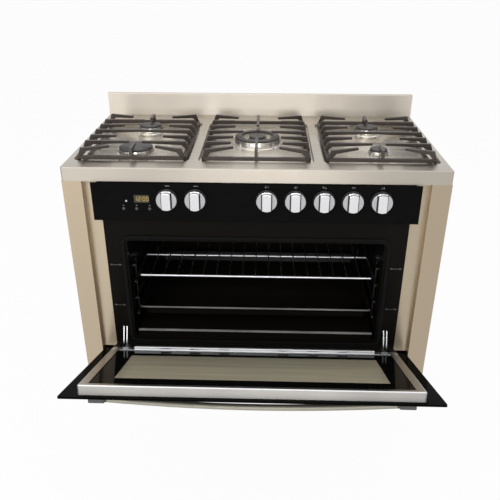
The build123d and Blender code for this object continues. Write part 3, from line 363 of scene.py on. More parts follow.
def close_brushed(finish, tone, roughness, streaks, clouds, pull):
    """Close a brushed metal; pull draws out its shine across the brushing."""
    return finish.close({
        "Base Color": tone,
        "Metallic": 1.0,
        "Roughness": roughness + streaks.wander(STREAK_WANDER) + clouds.wander(CLOUD_WANDER),
        "Anisotropic": pull,
        "Anisotropic Rotation": SHINE_TURN,
        "Normal": finish.bump(streaks, *BRUSH_BUMP),
    })


def brushed_metal(name, light, dark, axes, roughness, pull):
    """Sheet metal brushed along the given axes, with wide bands of painted reflection."""
    finish = new_finish(name)
    streaks, clouds, share = brushing(finish, *axes)
    tone = finish.mix(share, rgba(dark), rgba(light))
    return close_brushed(finish, tone, roughness, streaks, clouds, pull)


def hob_steel(name, light, dark, well_edge, roughness, gloss, pull):
    """Steel brushed across the hob, smoother where it faces up, with painted shade on its deck and painted
    light in its wells.
    """
    finish = new_finish(name)
    streaks, clouds, share = brushing(finish, X)
    upward = finish.facing(Z) > FACING_UP
    sunk = finish.axis(finish.place(), Z) < well_edge
    # Painted shade darkens the deck that faces up, and painted light brightens the wells
    side, deck, well = (
        finish.mix(share, rgba(dark, level), rgba(light, level))
        for level in (SIDE_LEVEL, SHADED_DECK_LEVEL, LIT_WELL_LEVEL)
    )
    tone = finish.mix(upward, side, finish.mix(sunk, deck, well))
    return close_brushed(finish, tone, roughness - upward * gloss, streaks, clouds, pull)


DOOR_REFLECTION_BANDS, DOOR_REFLECTION_SHARE = 9.0, 0.5
FACING_FORWARD = -0.8
EDGE_SHADE_AND_HIGHLIGHT_TONES = (0.64, 1.12)
RIB_HIGHLIGHT_TONES = (0.85, 1.0)


def along_door(finish):
    """How far from its hinge a point of the door lies, measured along the door as it rests."""
    swing = next(j for j in frame["joints"] if j["name"] == "door_swing")
    pivot = Vector(swing["pos_m"])
    tilt = math.radians(-swing["range_deg"][0])
    spot = finish.place()
    rise = (finish.axis(spot, Z) - pivot.z) * math.sin(tilt)
    return rise - (finish.axis(spot, Y) - pivot.y) * math.cos(tilt)


def door_frame_steel(name, light, dark, rib, details, roughness, dulling):
    """Brushed steel with bands of painted reflection, a painted highlight on the rib near the hinges and on
    the fold, and a rougher front edge with painted shade and brighter streaks of painted highlight.
    """
    finish = new_finish(name)
    streaks = streaks_along(finish, X)
    # Bands of painted reflection across the door's steel
    share = streaks.blend(finish.noise((DOOR_REFLECTION_BANDS, UNBROKEN, UNBROKEN)), DOOR_REFLECTION_SHARE)
    along = along_door(finish)
    near, far = details.rib_span
    # The front edge gets painted shade with brighter streaks of painted highlight, and the rib and the fold
    # get a painted highlight
    edge = (finish.facing(Y) < FACING_FORWARD) * (along > details.front_part)
    bright = (along > near) * (along < far) + (along > details.fold_start) * (1.0 - edge)
    tone = finish.mix(share, rgba(dark), rgba(light))
    edge_shade_and_highlight = finish.mix(share, rgba(dark, EDGE_SHADE_AND_HIGHLIGHT_TONES[0]), rgba(light, EDGE_SHADE_AND_HIGHLIGHT_TONES[1]))
    rib_highlight_tone = finish.tones(share, rib, *RIB_HIGHLIGHT_TONES)
    return finish.close({
        "Base Color": finish.mix(bright, finish.mix(edge, tone, edge_shade_and_highlight), rib_highlight_tone),
        "Metallic": 1.0,
        "Roughness": roughness + edge * dulling + streaks.wander(STREAK_WANDER),
        "Normal": finish.bump(streaks, *BRUSH_BUMP),
    })


def handle_satin(name, light, dark, end_colour, half_length, metallic, roughness):
    """A satin bar between dark end blocks."""
    finish = new_finish(name)
    streaks = streaks_along(finish, X)
    block = abs(finish.axis(finish.place(), X)) > half_length
    tone = finish.mix(streaks, rgba(dark), rgba(light))
    return finish.close({
        "Base Color": finish.mix(block, tone, rgba(end_colour)),
        "Metallic": metallic - block * metallic,
        "Roughness": roughness + streaks.wander(STREAK_WANDER),
        "Normal": finish.bump(streaks, *BRUSH_BUMP),
    })


# Plated, cast and turned metal

METAL_CLOUDS, METAL_GRAIN_SHARE = 14.0, 0.4
METAL_TONES = (0.82, 1.1)
METAL_WANDER = 0.14
METAL_BUMP = (0.00005, 0.25)
WIRE_FACING = 0.12
BAR_LEVEL, SHADED_WIRE_LEVEL = 0.84, 0.16


def plain_metal(name, colour, roughness, grain):
    """Plated, cast or turned metal with a fine even grain."""
    finish = new_finish(name)
    fine = finish.noise(grain, FINE)
    clouds = finish.noise(METAL_CLOUDS)
    return finish.close({
        "Base Color": finish.tones(clouds.blend(fine, METAL_GRAIN_SHARE), colour, *METAL_TONES),
        "Metallic": 1.0,
        "Roughness": roughness + fine.wander(METAL_WANDER),
        "Normal": finish.bump(fine, *METAL_BUMP),
    })


def shelf_chrome(name, colour, roughness, grain):
    """Bright bars along the shelf, and thin wires across it darkened with painted shade."""
    finish = new_finish(name)
    # The wires across the shelf get painted shade
    wires = abs(finish.facing(X)) > WIRE_FACING
    fine = finish.noise(grain, FINE)
    return finish.close({
        "Base Color": finish.tones(wires, colour, BAR_LEVEL, SHADED_WIRE_LEVEL),
        "Metallic": 1.0,
        "Roughness": roughness + fine.wander(METAL_WANDER),
        "Normal": finish.bump(fine, *METAL_BUMP),
    })


# Shares of a knob's box across and upright, from its middle outwards
KNOB_MIDDLE = 0.5
GRIP_HALF = (0.2, 0.43)
GROOVE_SHADE_HALF = (0.25, 0.38)

RIM_FACING = 0.6
TURNING = (900.0, 20.0, 900.0)
GRIP_TONES, SKIRT_TONES, SHADED_RIM_TONES = (0.78, 0.92), (0.48, 0.66), (0.1, 0.3)
TURNING_WANDER = 0.1
TURNING_BUMP = (0.00003, 0.2)


def knob_plating(name, colour, groove_shade_colour, metallic, roughness):
    """Satin plating: a bright grip and a duller skirt, with painted shade on the skirt's rim and painted
    shade in dark grooves beside the grip.
    """
    finish = new_finish(name)
    spot = finish.place("Generated")
    across = abs(finish.axis(spot, X) - KNOB_MIDDLE)
    upright = abs(finish.axis(spot, Z) - KNOB_MIDDLE)
    grip = (across < GRIP_HALF[0]) * (upright < GRIP_HALF[1])
    # Painted shade in grooves beside the grip, and on the rim where the skirt turns away from the front
    groove_shade = (across > GRIP_HALF[0]) * (across < GROOVE_SHADE_HALF[0]) * (upright < GROOVE_SHADE_HALF[1])
    rim = (abs(finish.facing(Y)) < RIM_FACING) * (1.0 - grip)
    turning = finish.noise(TURNING)
    bright, dull, dark = (
        finish.tones(turning, colour, *tones) for tones in (GRIP_TONES, SKIRT_TONES, SHADED_RIM_TONES)
    )
    plating = finish.mix(grip, finish.mix(rim, dull, dark), bright)
    return finish.close({
        "Base Color": finish.mix(groove_shade, plating, rgba(groove_shade_colour)),
        "Metallic": metallic - groove_shade * metallic,
        "Roughness": roughness + turning.wander(TURNING_WANDER),
        "Normal": finish.bump(turning, *TURNING_BUMP),
    })


# Enamel

FINE_PEEL, COARSE_PEEL = 900.0, 500.0
FINE_DEPTH, COARSE_DEPTH = 0.00006, 0.0001
PEEL_STRENGTH = 0.3
ENAMEL_SPECKS, ENAMEL_CLOUDS, SPECK_SHARE = 2600.0, 9.0, 0.5
ENAMEL_TONES = (0.7, 1.35)
ENAMEL_WANDER, PEEL_WANDER = 0.16, 0.06
RIM_PATCHES = (9.0, 40.0, 40.0)


def enamel(name, colour, roughness, specular, peel_cells=FINE_PEEL, depth=FINE_DEPTH):
    """Fired enamel: a thick coat with a slight orange peel and fine specks."""
    finish = new_finish(name)
    peel = finish.noise(peel_cells)
    specks = finish.noise(ENAMEL_SPECKS, FLAT)
    clouds = finish.noise(ENAMEL_CLOUDS)
    return finish.close({
        "Base Color": finish.tones(clouds.blend(specks, SPECK_SHARE), colour, *ENAMEL_TONES),
        "Roughness": roughness + clouds.wander(ENAMEL_WANDER) + peel.wander(PEEL_WANDER),
        "Specular IOR Level": specular,
        "Normal": finish.bump(peel, depth, PEEL_STRENGTH),
    })


def enamel_with_rim_highlight(name, colour, rim_highlight_colour, rim, reach, roughness, dulling, specular):
    """Glossy enamel with a painted highlight in paler grey along its front rim, broken into patches, where
    it is also rougher.
    """
    finish = new_finish(name)
    peel = finish.noise(FINE_PEEL)
    rim_patches = finish.noise(RIM_PATCHES, FINE)
    spot = finish.place()
    # Painted highlight in patches along the front rim
    rim_highlight = (finish.axis(spot, Z) > rim) * (finish.axis(spot, Y) < reach) * rim_patches
    return finish.close({
        "Base Color": finish.mix(rim_highlight, finish.tones(peel, colour, *ENAMEL_TONES), rgba(rim_highlight_colour)),
        "Roughness": roughness + peel.wander(PEEL_WANDER) + rim_highlight * dulling,
        "Specular IOR Level": specular,
        "Normal": finish.bump(peel, FINE_DEPTH, PEEL_STRENGTH),
    })


# Glass

PANEL_SMEARS, PANEL_DUST = (18.0, 18.0, 45.0), 1500.0
PANEL_TONES = (0.7, 1.5)
WINDOW_SMEARS_AND_REFLECTIONS, WINDOW_REFLECTION_PATCHES = (3.0, 60.0, 60.0), (7.0, 24.0, 24.0)
WINDOW_REFLECTION_TONES, INK_TONES = (0.72, 1.24), (0.6, 1.2)
BROWNER = (1.06, 0.96, 0.95)
FACING_DOWN = -0.5
OUTER_POLISH = 0.6
SMEAR_DULLING, DUST_DULLING = 0.06, 0.02


def black_glass(name, colour, roughness, specular):
    """Back-printed glass with faint smears in its polish."""
    finish = new_finish(name)
    smears = finish.noise(PANEL_SMEARS, FINE)
    dust = finish.noise(PANEL_DUST, FLAT)
    return finish.close({
        "Base Color": finish.tones(smears, colour, *PANEL_TONES),
        "Roughness": roughness + smears * SMEAR_DULLING + dust * DUST_DULLING,
        "Specular IOR Level": specular,
    })


def window_glass(name, border, tint, details, opacity, roughness, specular):
    """Glass with a printed black border round a see-through tinted window, polished outside, with smears
    and painted reflections in streaks and patches across the window.
    """
    finish = new_finish(name)
    along = along_door(finish)
    across = abs(finish.axis(finish.place(), X))
    near, far = details.window_span
    window = (across < details.window_half) * (along > near) * (along < far)
    # Smears, also standing for painted reflections: streaks and cool and brown patches lighten and darken
    # the window's tint
    smears = finish.noise(WINDOW_SMEARS_AND_REFLECTIONS, FINE)
    brown = tuple(c * gain for c, gain in zip(tint, BROWNER))
    cool_pane, warm_pane = (finish.tones(smears, colour, *WINDOW_REFLECTION_TONES) for colour in (tint, brown))
    pane = finish.mix(finish.noise(WINDOW_REFLECTION_PATCHES), cool_pane, warm_pane)
    ink = finish.tones(smears, border, *INK_TONES)
    outside = finish.facing(Z) < FACING_DOWN
    return finish.close({
        "Base Color": finish.mix(window, ink, pane),
        "Roughness": roughness + smears * SMEAR_DULLING,
        "Specular IOR Level": specular,
        "Coat Weight": outside * OUTER_POLISH,
        "Alpha": 1.0 - window * (1.0 - opacity),
    })


LIT_GRAIN = 700.0
LIT_TONES = (0.8, 1.1)
LIT_DULLING = 0.1


def lit_glass(name, colour, roughness, glow):
    """A lit window of the clock."""
    finish = new_finish(name)
    grain = finish.noise(LIT_GRAIN)
    tone = finish.tones(grain, colour, *LIT_TONES)
    return finish.close({
        "Base Color": tone,
        "Roughness": roughness + grain * LIT_DULLING,
        "Emission Color": tone,
        "Emission Strength": glow,
    })


# Plastic, rubber, ceramic and fibre

MOULD_GRAIN, MOULD_CLOUDS, MOULD_GRAIN_SHARE = 1800.0, 30.0, 0.3
MOULD_TONES = (0.8, 1.25)
MOULD_WANDER = 0.12
MOULD_BUMP = (0.00004, 0.3)
STRANDS = (320.0, 320.0, 1280.0)
STRAND_TONES = (0.7, 1.2)
STRAND_BUMP = (0.002, 0.7)


def moulded(name, colour, roughness, specular=0.4):
    """Moulded plastic, rubber or ceramic with a fine texture."""
    finish = new_finish(name)
    grain = finish.noise(MOULD_GRAIN)
    clouds = finish.noise(MOULD_CLOUDS)
    return finish.close({
        "Base Color": finish.tones(clouds.blend(grain, MOULD_GRAIN_SHARE), colour, *MOULD_TONES),
        "Roughness": roughness + grain.wander(MOULD_WANDER),
        "Specular IOR Level": specular,
        "Normal": finish.bump(grain, *MOULD_BUMP),
    })


def clock_plastic(name, colours, details, roughness, glow):
    """Dark moulded plastic with a pale pilot lamp."""
    finish = new_finish(name)
    grain = finish.noise(MOULD_GRAIN)
    spot = finish.place()
    off_x = finish.axis(spot, X) - details.pilot_spot[0]
    off_z = finish.axis(spot, Z) - details.pilot_spot[1]
    lens = off_x * off_x + off_z * off_z < details.pilot_radius ** 2
    plastic = finish.tones(grain, colours.plastic, *MOULD_TONES)
    return finish.close({
        "Base Color": finish.mix(lens, plastic, rgba(colours.pilot)),
        "Roughness": roughness + grain.wander(MOULD_WANDER),
        "Emission Color": finish.mix(lens, BLACK, rgba(colours.pilot_light)),
        "Emission Strength": glow,
        "Normal": finish.bump(grain, *MOULD_BUMP),
    })


def fibre(name, colour, roughness):
    """Matted mineral fibre."""
    finish = new_finish(name)
    strands = finish.noise(STRANDS, MATTED)
    return finish.close({
        "Base Color": finish.tones(strands, colour, *STRAND_TONES),
        "Roughness": roughness,
        "Normal": finish.bump(strands, *STRAND_BUMP),
    })


# Helpers for the pieces


def settings(context):
    """The cooker's colours and its small sizes."""
    return context.scene.cooker_finishes, context.scene.cooker_details


def paint(material, *nodes):
    """Give CAD nodes a finish."""
    for node in nodes:
        mesh = frame["nodes"][node].data
        mesh.materials.clear()
        mesh.materials.append(material)


def new_piece(name, build, material, body):
    """Make a piece from mesh code and let it ride on a body."""
    mesh = bpy.data.meshes.new(name)
    shape = bmesh.new()
    build(shape)
    bmesh.ops.recalc_face_normals(shape, faces=shape.faces)
    shape.to_mesh(mesh)
    shape.free()
    mesh.materials.append(material)
    piece = bpy.data.objects.new(name, mesh)
    bpy.context.scene.collection.objects.link(piece)
    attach(piece, body)


def middle(node):
    """The middle of a CAD node's box."""
    low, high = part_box(node)
    return (low + high) / 2


def slab(shape, outline, back, front):
    """A thin plate standing in the XZ plane, from an outline of X and Z points."""
    rear = [shape.verts.new((x, back, z)) for x, z in outline]
    fore = [shape.verts.new((x, front, z)) for x, z in outline]
    shape.faces.new(rear)
    shape.faces.new(fore)
    for i in range(len(outline)):
        j = (i + 1) % len(outline)
        shape.faces.new((rear[i], rear[j], fore[j], fore[i]))


def disc(x, z, radius, sides=14):
    """The outline of a printed dot."""
    turn = 2 * math.pi / sides
    return [(x + radius * math.cos(i * turn), z + radius * math.sin(i * turn)) for i in range(sides)]


CLIPPED_CORNER = 0.3


def bar(x, z, width, height):
    """The outline of a bar with clipped corners."""
    clip = min(width, height) * CLIPPED_CORNER
    w, h = width / 2, height / 2
    return [
        (x - w + clip, z - h), (x + w - clip, z - h), (x + w, z - h + clip), (x + w, z + h - clip),
        (x + w - clip, z + h), (x - w + clip, z + h), (x - w, z + h - clip), (x - w, z - h + clip),
    ]


# Rings of a screw head, as shares of its radius and heights in radii, and its cross recess in radii
SCREW_SIDES = 24
SCREW_RINGS = [(1.0, 0.0), (1.0, 0.3), (0.9, 0.5), (0.7, 0.6), (0.45, 0.66), (0.2, 0.68)]
RECESS_WIDTH, RECESS_REACH, RECESS_DEPTH = 0.13, 0.6, 0.35


def screw_head(shape, place, out, radius):
    """A pan-head screw with a cross recess, sitting on a surface that faces out."""
    at = Matrix.Translation(place) @ UPWARD.rotation_difference(out).to_matrix().to_4x4()
    rows = []
    for share, height in SCREW_RINGS:
        row = []
        for i in range(SCREW_SIDES):
            angle = 2 * math.pi * i / SCREW_SIDES
            x, y = share * math.cos(angle), share * math.sin(angle)
            recessed = min(abs(x), abs(y)) < RECESS_WIDTH and share < RECESS_REACH
            z = height - (RECESS_DEPTH if recessed else 0.0)
            row.append(shape.verts.new(at @ (Vector((x, y, z)) * radius)))
        rows.append(row)
    for lower, upper in zip(rows, rows[1:]):
        for i in range(SCREW_SIDES):
            j = (i + 1) % SCREW_SIDES
            shape.faces.new((lower[i], lower[j], upper[j], upper[i]))
    shape.faces.new(rows[-1])
    shape.faces.new(list(reversed(rows[0])))


# Cabinet


class COOKER_OT_cabinet(bpy.types.Operator):
    """Give the cabinet, the rear panel and the base their sheet metal"""

    bl_idname = "cooker.cabinet"
    bl_label = "Finish the cabinet"

    def execute(self, context):
        colours = context.scene.cooker_finishes
        cabinet = brushed_metal(
            "cabinet_steel", colours.steel, colours.steel_shade, (X, Y), roughness=0.4, pull=0.9
        )
        paint(cabinet, "side_panel_left", "side_panel_right")
        columns = brushed_metal(
            "column_steel", colours.column, colours.column_shade, (X, Y), roughness=0.4, pull=0.9
        )
        paint(columns, "front_columns")
        plated = plain_metal("plated_sheet", colours.plated, roughness=0.42, grain=500.0)
        paint(plated, "base_pan", "rear_panel", "drawer_runners", "drawer_box")
        paint(fibre("glass_wool_fibre", colours.wool, roughness=0.9), "oven_insulation")
        feet = moulded("foot_plastic", colours.plastic, roughness=0.5)
        paint(feet, "levelling_feet", "cable_gland")
        return {"FINISHED"}


REAR_SCREW_ROWS = 5

# From the panel's edges to a screw's middle, in radii of its head
REAR_SCREW_INSET = 2.5


class COOKER_OT_rear_screws(bpy.types.Operator):
    """Put the screws that hold the rear panel"""

    bl_idname = "cooker.rear_screws"
    bl_label = "Fit the rear screws"

    def execute(self, context):
        colours, details = settings(context)
        low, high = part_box("rear_panel")
        inset = REAR_SCREW_INSET * details.screw
        step = (high.z - low.z - 2 * inset) / (REAR_SCREW_ROWS - 1)

        def build(shape):
            for row in range(REAR_SCREW_ROWS):
                z = low.z + inset + row * step
                for x in (low.x + inset, high.x - inset):
                    screw_head(shape, Vector((x, high.y, z)), BACKWARD, details.screw)

        zinc = plain_metal("screw_zinc", colours.plated, roughness=0.3, grain=800.0)
        new_piece("rear_panel_screws", build, zinc, "cabinet")
        return {"FINISHED"}


# Hob


class COOKER_OT_hob(bpy.types.Operator):
    """Finish the hob, the backguard, the burners and the pan supports"""

    bl_idname = "cooker.hob"
    bl_label = "Finish the hob"

    def execute(self, context):
        colours, details = settings(context)
        hob = hob_steel(
            "steel_brushed_across", colours.hob, colours.hob_shade, details.well_edge,
            roughness=0.42, gloss=0.14, pull=0.9,
        )
        paint(hob, "hob_top")
        # The backguard gets a lighter copy of the hob's steel as painted light
        guard = brushed_metal(
            "backguard_steel", colours.guard, colours.guard_shade, (X,), roughness=0.44, pull=0.75
        )
        paint(guard, "backguard")
        support = enamel(
            "support_enamel", colours.support, roughness=0.36, specular=0.36,
            peel_cells=COARSE_PEEL, depth=COARSE_DEPTH,
        )
        paint(support, "pan_support_left", "pan_support_centre", "pan_support_right")
        alloy = plain_metal("burner_alloy_cast", colours.alloy, roughness=0.26, grain=900.0)
        paint(alloy, "burner_crowns", "burner_cups", "burner_pipes")
        paint(enamel("cap_enamel", colours.cap, roughness=0.4, specular=0.32), "burner_caps")
        paint(moulded("spark_ceramic", colours.ceramic, roughness=0.25), "spark_electrodes")
        paint(plain_metal("probe_steel", colours.plated, roughness=0.3, grain=900.0), "thermocouples")
        return {"FINISHED"}


# Control panel


class COOKER_OT_controls(bpy.types.Operator):
    """Finish the control panel, the knobs, the buttons and the gas way behind them"""

    bl_idname = "cooker.controls"
    bl_label = "Finish the controls"

    def execute(self, context):
        colours, details = settings(context)
        paint(black_glass("panel_glass", colours.glass, roughness=0.05, specular=0.03), "control_panel")
        plating = knob_plating("knob_plating", colours.knob, colours.groove_shade, metallic=0.8, roughness=0.28)
        paint(plating, *KNOBS)
        paint(plain_metal("spindle_steel", colours.plated, roughness=0.3, grain=900.0), *SPINDLES)
        brass = plain_metal("tap_brass", colours.brass, roughness=0.35, grain=700.0)
        paint(brass, "gas_taps", "gas_manifold")
        paint(clock_plastic("clock_plastic", colours, details, roughness=0.25, glow=0.2), "clock_display")
        paint(moulded("button_plastic", colours.button, roughness=0.35), *BUTTONS)
        return {"FINISHED"}


# Sizes of the printed marks, in radii of a dot
OVEN_BAR, OVEN_DOT_OUT = (7.0, 1.3), 6.0
BURNER_PITCH = (3.2, 1.5)
CHOSEN_DOT, OTHER_DOT = 1.2, 0.6
BUTTON_BAR, BUTTON_BAR_UP = (4.0, 1.0), 8.0


class COOKER_OT_marks(bpy.types.Operator):
    """Print the plain marks by the knobs and the buttons"""

    bl_idname = "cooker.marks"
    bl_label = "Print the marks"

    def execute(self, context):
        colours, details = settings(context)
        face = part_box("control_panel")[0].y
        proud = face - details.print_rise
        dot = details.dot

        def print_bar(shape, x, z, size):
            slab(shape, bar(x, z, size[0] * dot, size[1] * dot), face, proud)

        def print_dot(shape, x, z, size):
            slab(shape, disc(x, z, size * dot), face, proud)

        def burner_mark(shape, x, z, burner):
            # The lower row's dots count 0, 1, 2 and the upper row's 2, 3, 4, so burner 2 has two
            for column in (-1, 0, 1):
                for row in (-1, 1):
                    chosen = burner == (column + 1) + (row > 0) * 2
                    spot = (x + column * BURNER_PITCH[0] * dot, z + row * BURNER_PITCH[1] * dot)
                    print_dot(shape, *spot, CHOSEN_DOT if chosen else OTHER_DOT)

        def build(shape):
            for i, knob in enumerate(KNOBS):
                spot = middle(knob)
                x, z = spot.x, spot.z + details.mark_above
                if i < OVEN_KNOBS:
                    print_bar(shape, x, z, OVEN_BAR)
                    print_dot(shape, x + OVEN_DOT_OUT * dot, z, 1.0)
                else:
                    burner_mark(shape, x, z, i - OVEN_KNOBS)
            for button in BUTTONS:
                spot = middle(button)
                print_bar(shape, spot.x, spot.z + BUTTON_BAR_UP * dot, BUTTON_BAR)

        ink = moulded("panel_print", colours.print_white, roughness=0.5)
        new_piece("panel_marks", build, ink, "cabinet")
        return {"FINISHED"}


CLOCK_TIME = "1200"
SEGMENTS = {"0": "abcdef", "1": "bc", "2": "abged"}

# In heights of a digit
DIGIT_WIDE, DIGIT_THICK, DIGIT_STEP = 0.5, 0.14, 0.82
COLON_UP, COLON_RADIUS = 0.22, 0.07

# In thicknesses of a digit's bar
SEGMENT_GAP = 1.2

# In steps from one digit to the next
FIRST_DIGIT, COLON_GAP = 1.95, 0.35

# How far left of the window's middle the colon stands, in metres
COLON_SHIFT = 0.0005

# The window's tone, as a share of the digits' amber
GROUND_LEVEL = 0.12


def digit_outlines(letter, x, z, height):
    """The lit bars of one seven-part digit, standing with its lower left corner at x, z."""
    wide, thick, half = height * DIGIT_WIDE, height * DIGIT_THICK, height / 2
    gap = thick * SEGMENT_GAP
    level, upright = (wide - gap, thick), (thick, half - gap)
    low, high = half / 2, half + half / 2
    places = {
        "a": (wide / 2, height, level), "g": (wide / 2, half, level), "d": (wide / 2, 0.0, level),
        "f": (0.0, high, upright), "b": (wide, high, upright),
        "e": (0.0, low, upright), "c": (wide, low, upright),
    }
    for part in SEGMENTS[letter]:
        dx, dz, size = places[part]
        yield bar(x + dx, z + dz, *size)


class COOKER_OT_clock(bpy.types.Operator):
    """Light the clock's window and its digits"""

    bl_idname = "cooker.clock"
    bl_label = "Light the clock"

    def execute(self, context):
        colours, details = settings(context)
        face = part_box("control_panel")[0].y
        ground = face - details.print_rise
        lit = face - 2 * details.print_rise
        height = details.digit
        step = height * DIGIT_STEP
        centre_x, centre_z = details.clock_spot

        def window(shape):
            slab(shape, bar(centre_x, centre_z, *details.clock_size), face, ground)

        def digits(shape):
            start = centre_x - FIRST_DIGIT * step
            for i, letter in enumerate(CLOCK_TIME):
                x = start + i * step + (step * COLON_GAP if i > 1 else 0.0)
                for outline in digit_outlines(letter, x, centre_z - height / 2, height):
                    slab(shape, outline, ground, lit)
            for up in (-COLON_UP, COLON_UP):
                outline = disc(centre_x - COLON_SHIFT, centre_z + up * height, height * COLON_RADIUS)
                slab(shape, outline, ground, lit)

        dim = tuple(c * GROUND_LEVEL for c in colours.amber)
        amber_ground = lit_glass("clock_amber_ground", dim, roughness=0.3, glow=0.08)
        new_piece("clock_window", window, amber_ground, "cabinet")
        amber_digits = lit_glass("clock_amber_digits", colours.amber, roughness=0.3, glow=0.2)
        new_piece("clock_digits", digits, amber_digits, "cabinet")
        return {"FINISHED"}


# Oven


class COOKER_OT_oven(bpy.types.Operator):
    """Finish the oven, its racks, shelf, tray, burners and seal"""

    bl_idname = "cooker.oven"
    bl_label = "Finish the oven"

    def execute(self, context):
        colours, details = settings(context)
        lining = enamel("oven_enamel", colours.enamel, roughness=0.3, specular=0.055)
        # The control bracket gets the black enamel as painted shade where it shows below the panel
        paint(lining, "oven_cavity", "oven_front_frame", "control_bracket")
        # The tray and the floor plate get a painted highlight along their front rims
        for node in ("baking_tray", "oven_floor_plate"):
            low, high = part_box(node)
            rim, reach = high.z - details.rim_depth, low.y + details.rim_reach
            rim_highlight = enamel_with_rim_highlight(
                f"{node}_enamel", colours.enamel, colours.rim_highlight, rim, reach,
                roughness=0.24, dulling=0.2, specular=0.18,
            )
            paint(rim_highlight, node)
        paint(shelf_chrome("wire_chrome", colours.chrome, roughness=0.38, grain=600.0), "wire_shelf")
        # The side racks get painted shade
        paint(plain_metal("rack_wire_dark", colours.shaded_rack, roughness=0.35, grain=600.0), "side_racks")
        paint(moulded("seal_woven", colours.seal, roughness=0.75, specular=0.05), "door_seal")
        tube = plain_metal("burner_tube_steel", colours.burner_tube, roughness=0.45, grain=700.0)
        paint(tube, "oven_burner", "grill_burner")
        return {"FINISHED"}


class COOKER_OT_seal_clips(bpy.types.Operator):
    """Fit the clips on the oven's front"""

    bl_idname = "cooker.seal_clips"
    bl_label = "Fit the seal clips"

    def execute(self, context):
        colours, details = settings(context)
        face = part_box("oven_front_frame")[0].y
        screws = (details.clip_out - details.clip_screw_out, details.clip_out + details.clip_screw_out)

        def build(shape):
            for side in (-1, 1):
                for z in details.clip_heights:
                    outline = bar(side * details.clip_out, z, *details.clip_size)
                    slab(shape, outline, face, face - details.clip_rise)
                    for x in screws:
                        screw_head(shape, Vector((side * x, face, z)), FORWARD, details.clip_screw)

        steel = plain_metal("clip_steel", colours.clip, roughness=0.35, grain=800.0)
        new_piece("seal_clips", build, steel, "cabinet")
        return {"FINISHED"}


# Door and drawer


class COOKER_OT_door(bpy.types.Operator):
    """Finish the oven door and its hinges"""

    bl_idname = "cooker.door"
    bl_label = "Finish the door"

    def execute(self, context):
        colours, details = settings(context)
        steel = door_frame_steel(
            "door_steel", colours.door, colours.door_shade, colours.door_rib_highlight, details,
            roughness=0.34, dulling=0.2,
        )
        paint(steel, "door_frame")
        # The handle's olive tone is painted reflection of its surroundings
        satin = handle_satin(
            "handle_satin", colours.handle, colours.handle_shade, colours.handle_end, details.handle_half,
            metallic=0.45, roughness=0.52,
        )
        paint(satin, "door_handle")
        outer = window_glass(
            "door_glass_printed", colours.glass, colours.outer_tint, details,
            opacity=0.45, roughness=0.04, specular=0.003,
        )
        paint(outer, "door_glass")
        inner = window_glass(
            "inner_glass_printed", colours.glass, colours.inner_tint, details,
            opacity=0.55, roughness=0.04, specular=0.02,
        )
        paint(inner, "door_inner_glass")
        paint(enamel("rail_enamel", colours.enamel, roughness=0.4, specular=0.3), "door_base_rail")
        paint(plain_metal("hinge_steel", colours.plated, roughness=0.25, grain=700.0), "hinge_arms")
        return {"FINISHED"}


class COOKER_OT_drawer(bpy.types.Operator):
    """Finish the storage drawer's front"""

    bl_idname = "cooker.drawer"
    bl_label = "Finish the drawer"

    def execute(self, context):
        colours = context.scene.cooker_finishes
        front = brushed_metal(
            "drawer_steel", colours.steel, colours.steel_shade, (X, Y), roughness=0.36, pull=0.9
        )
        paint(front, "drawer_front")
        return {"FINISHED"}


# Stage

FLOOR_REACH = 20.0
FLOOR_CLOUDS = 3.0
FLOOR_GREYS = ((0.88, 0.88, 0.88, 1.0), (0.92, 0.92, 0.92, 1.0))
FLOOR_GLOW = 0.955
SENSOR_WIDTH = 36.0
VIEW_END = 200.0
LAMP_AIM = Vector((0.0, 0.15, 0.6))


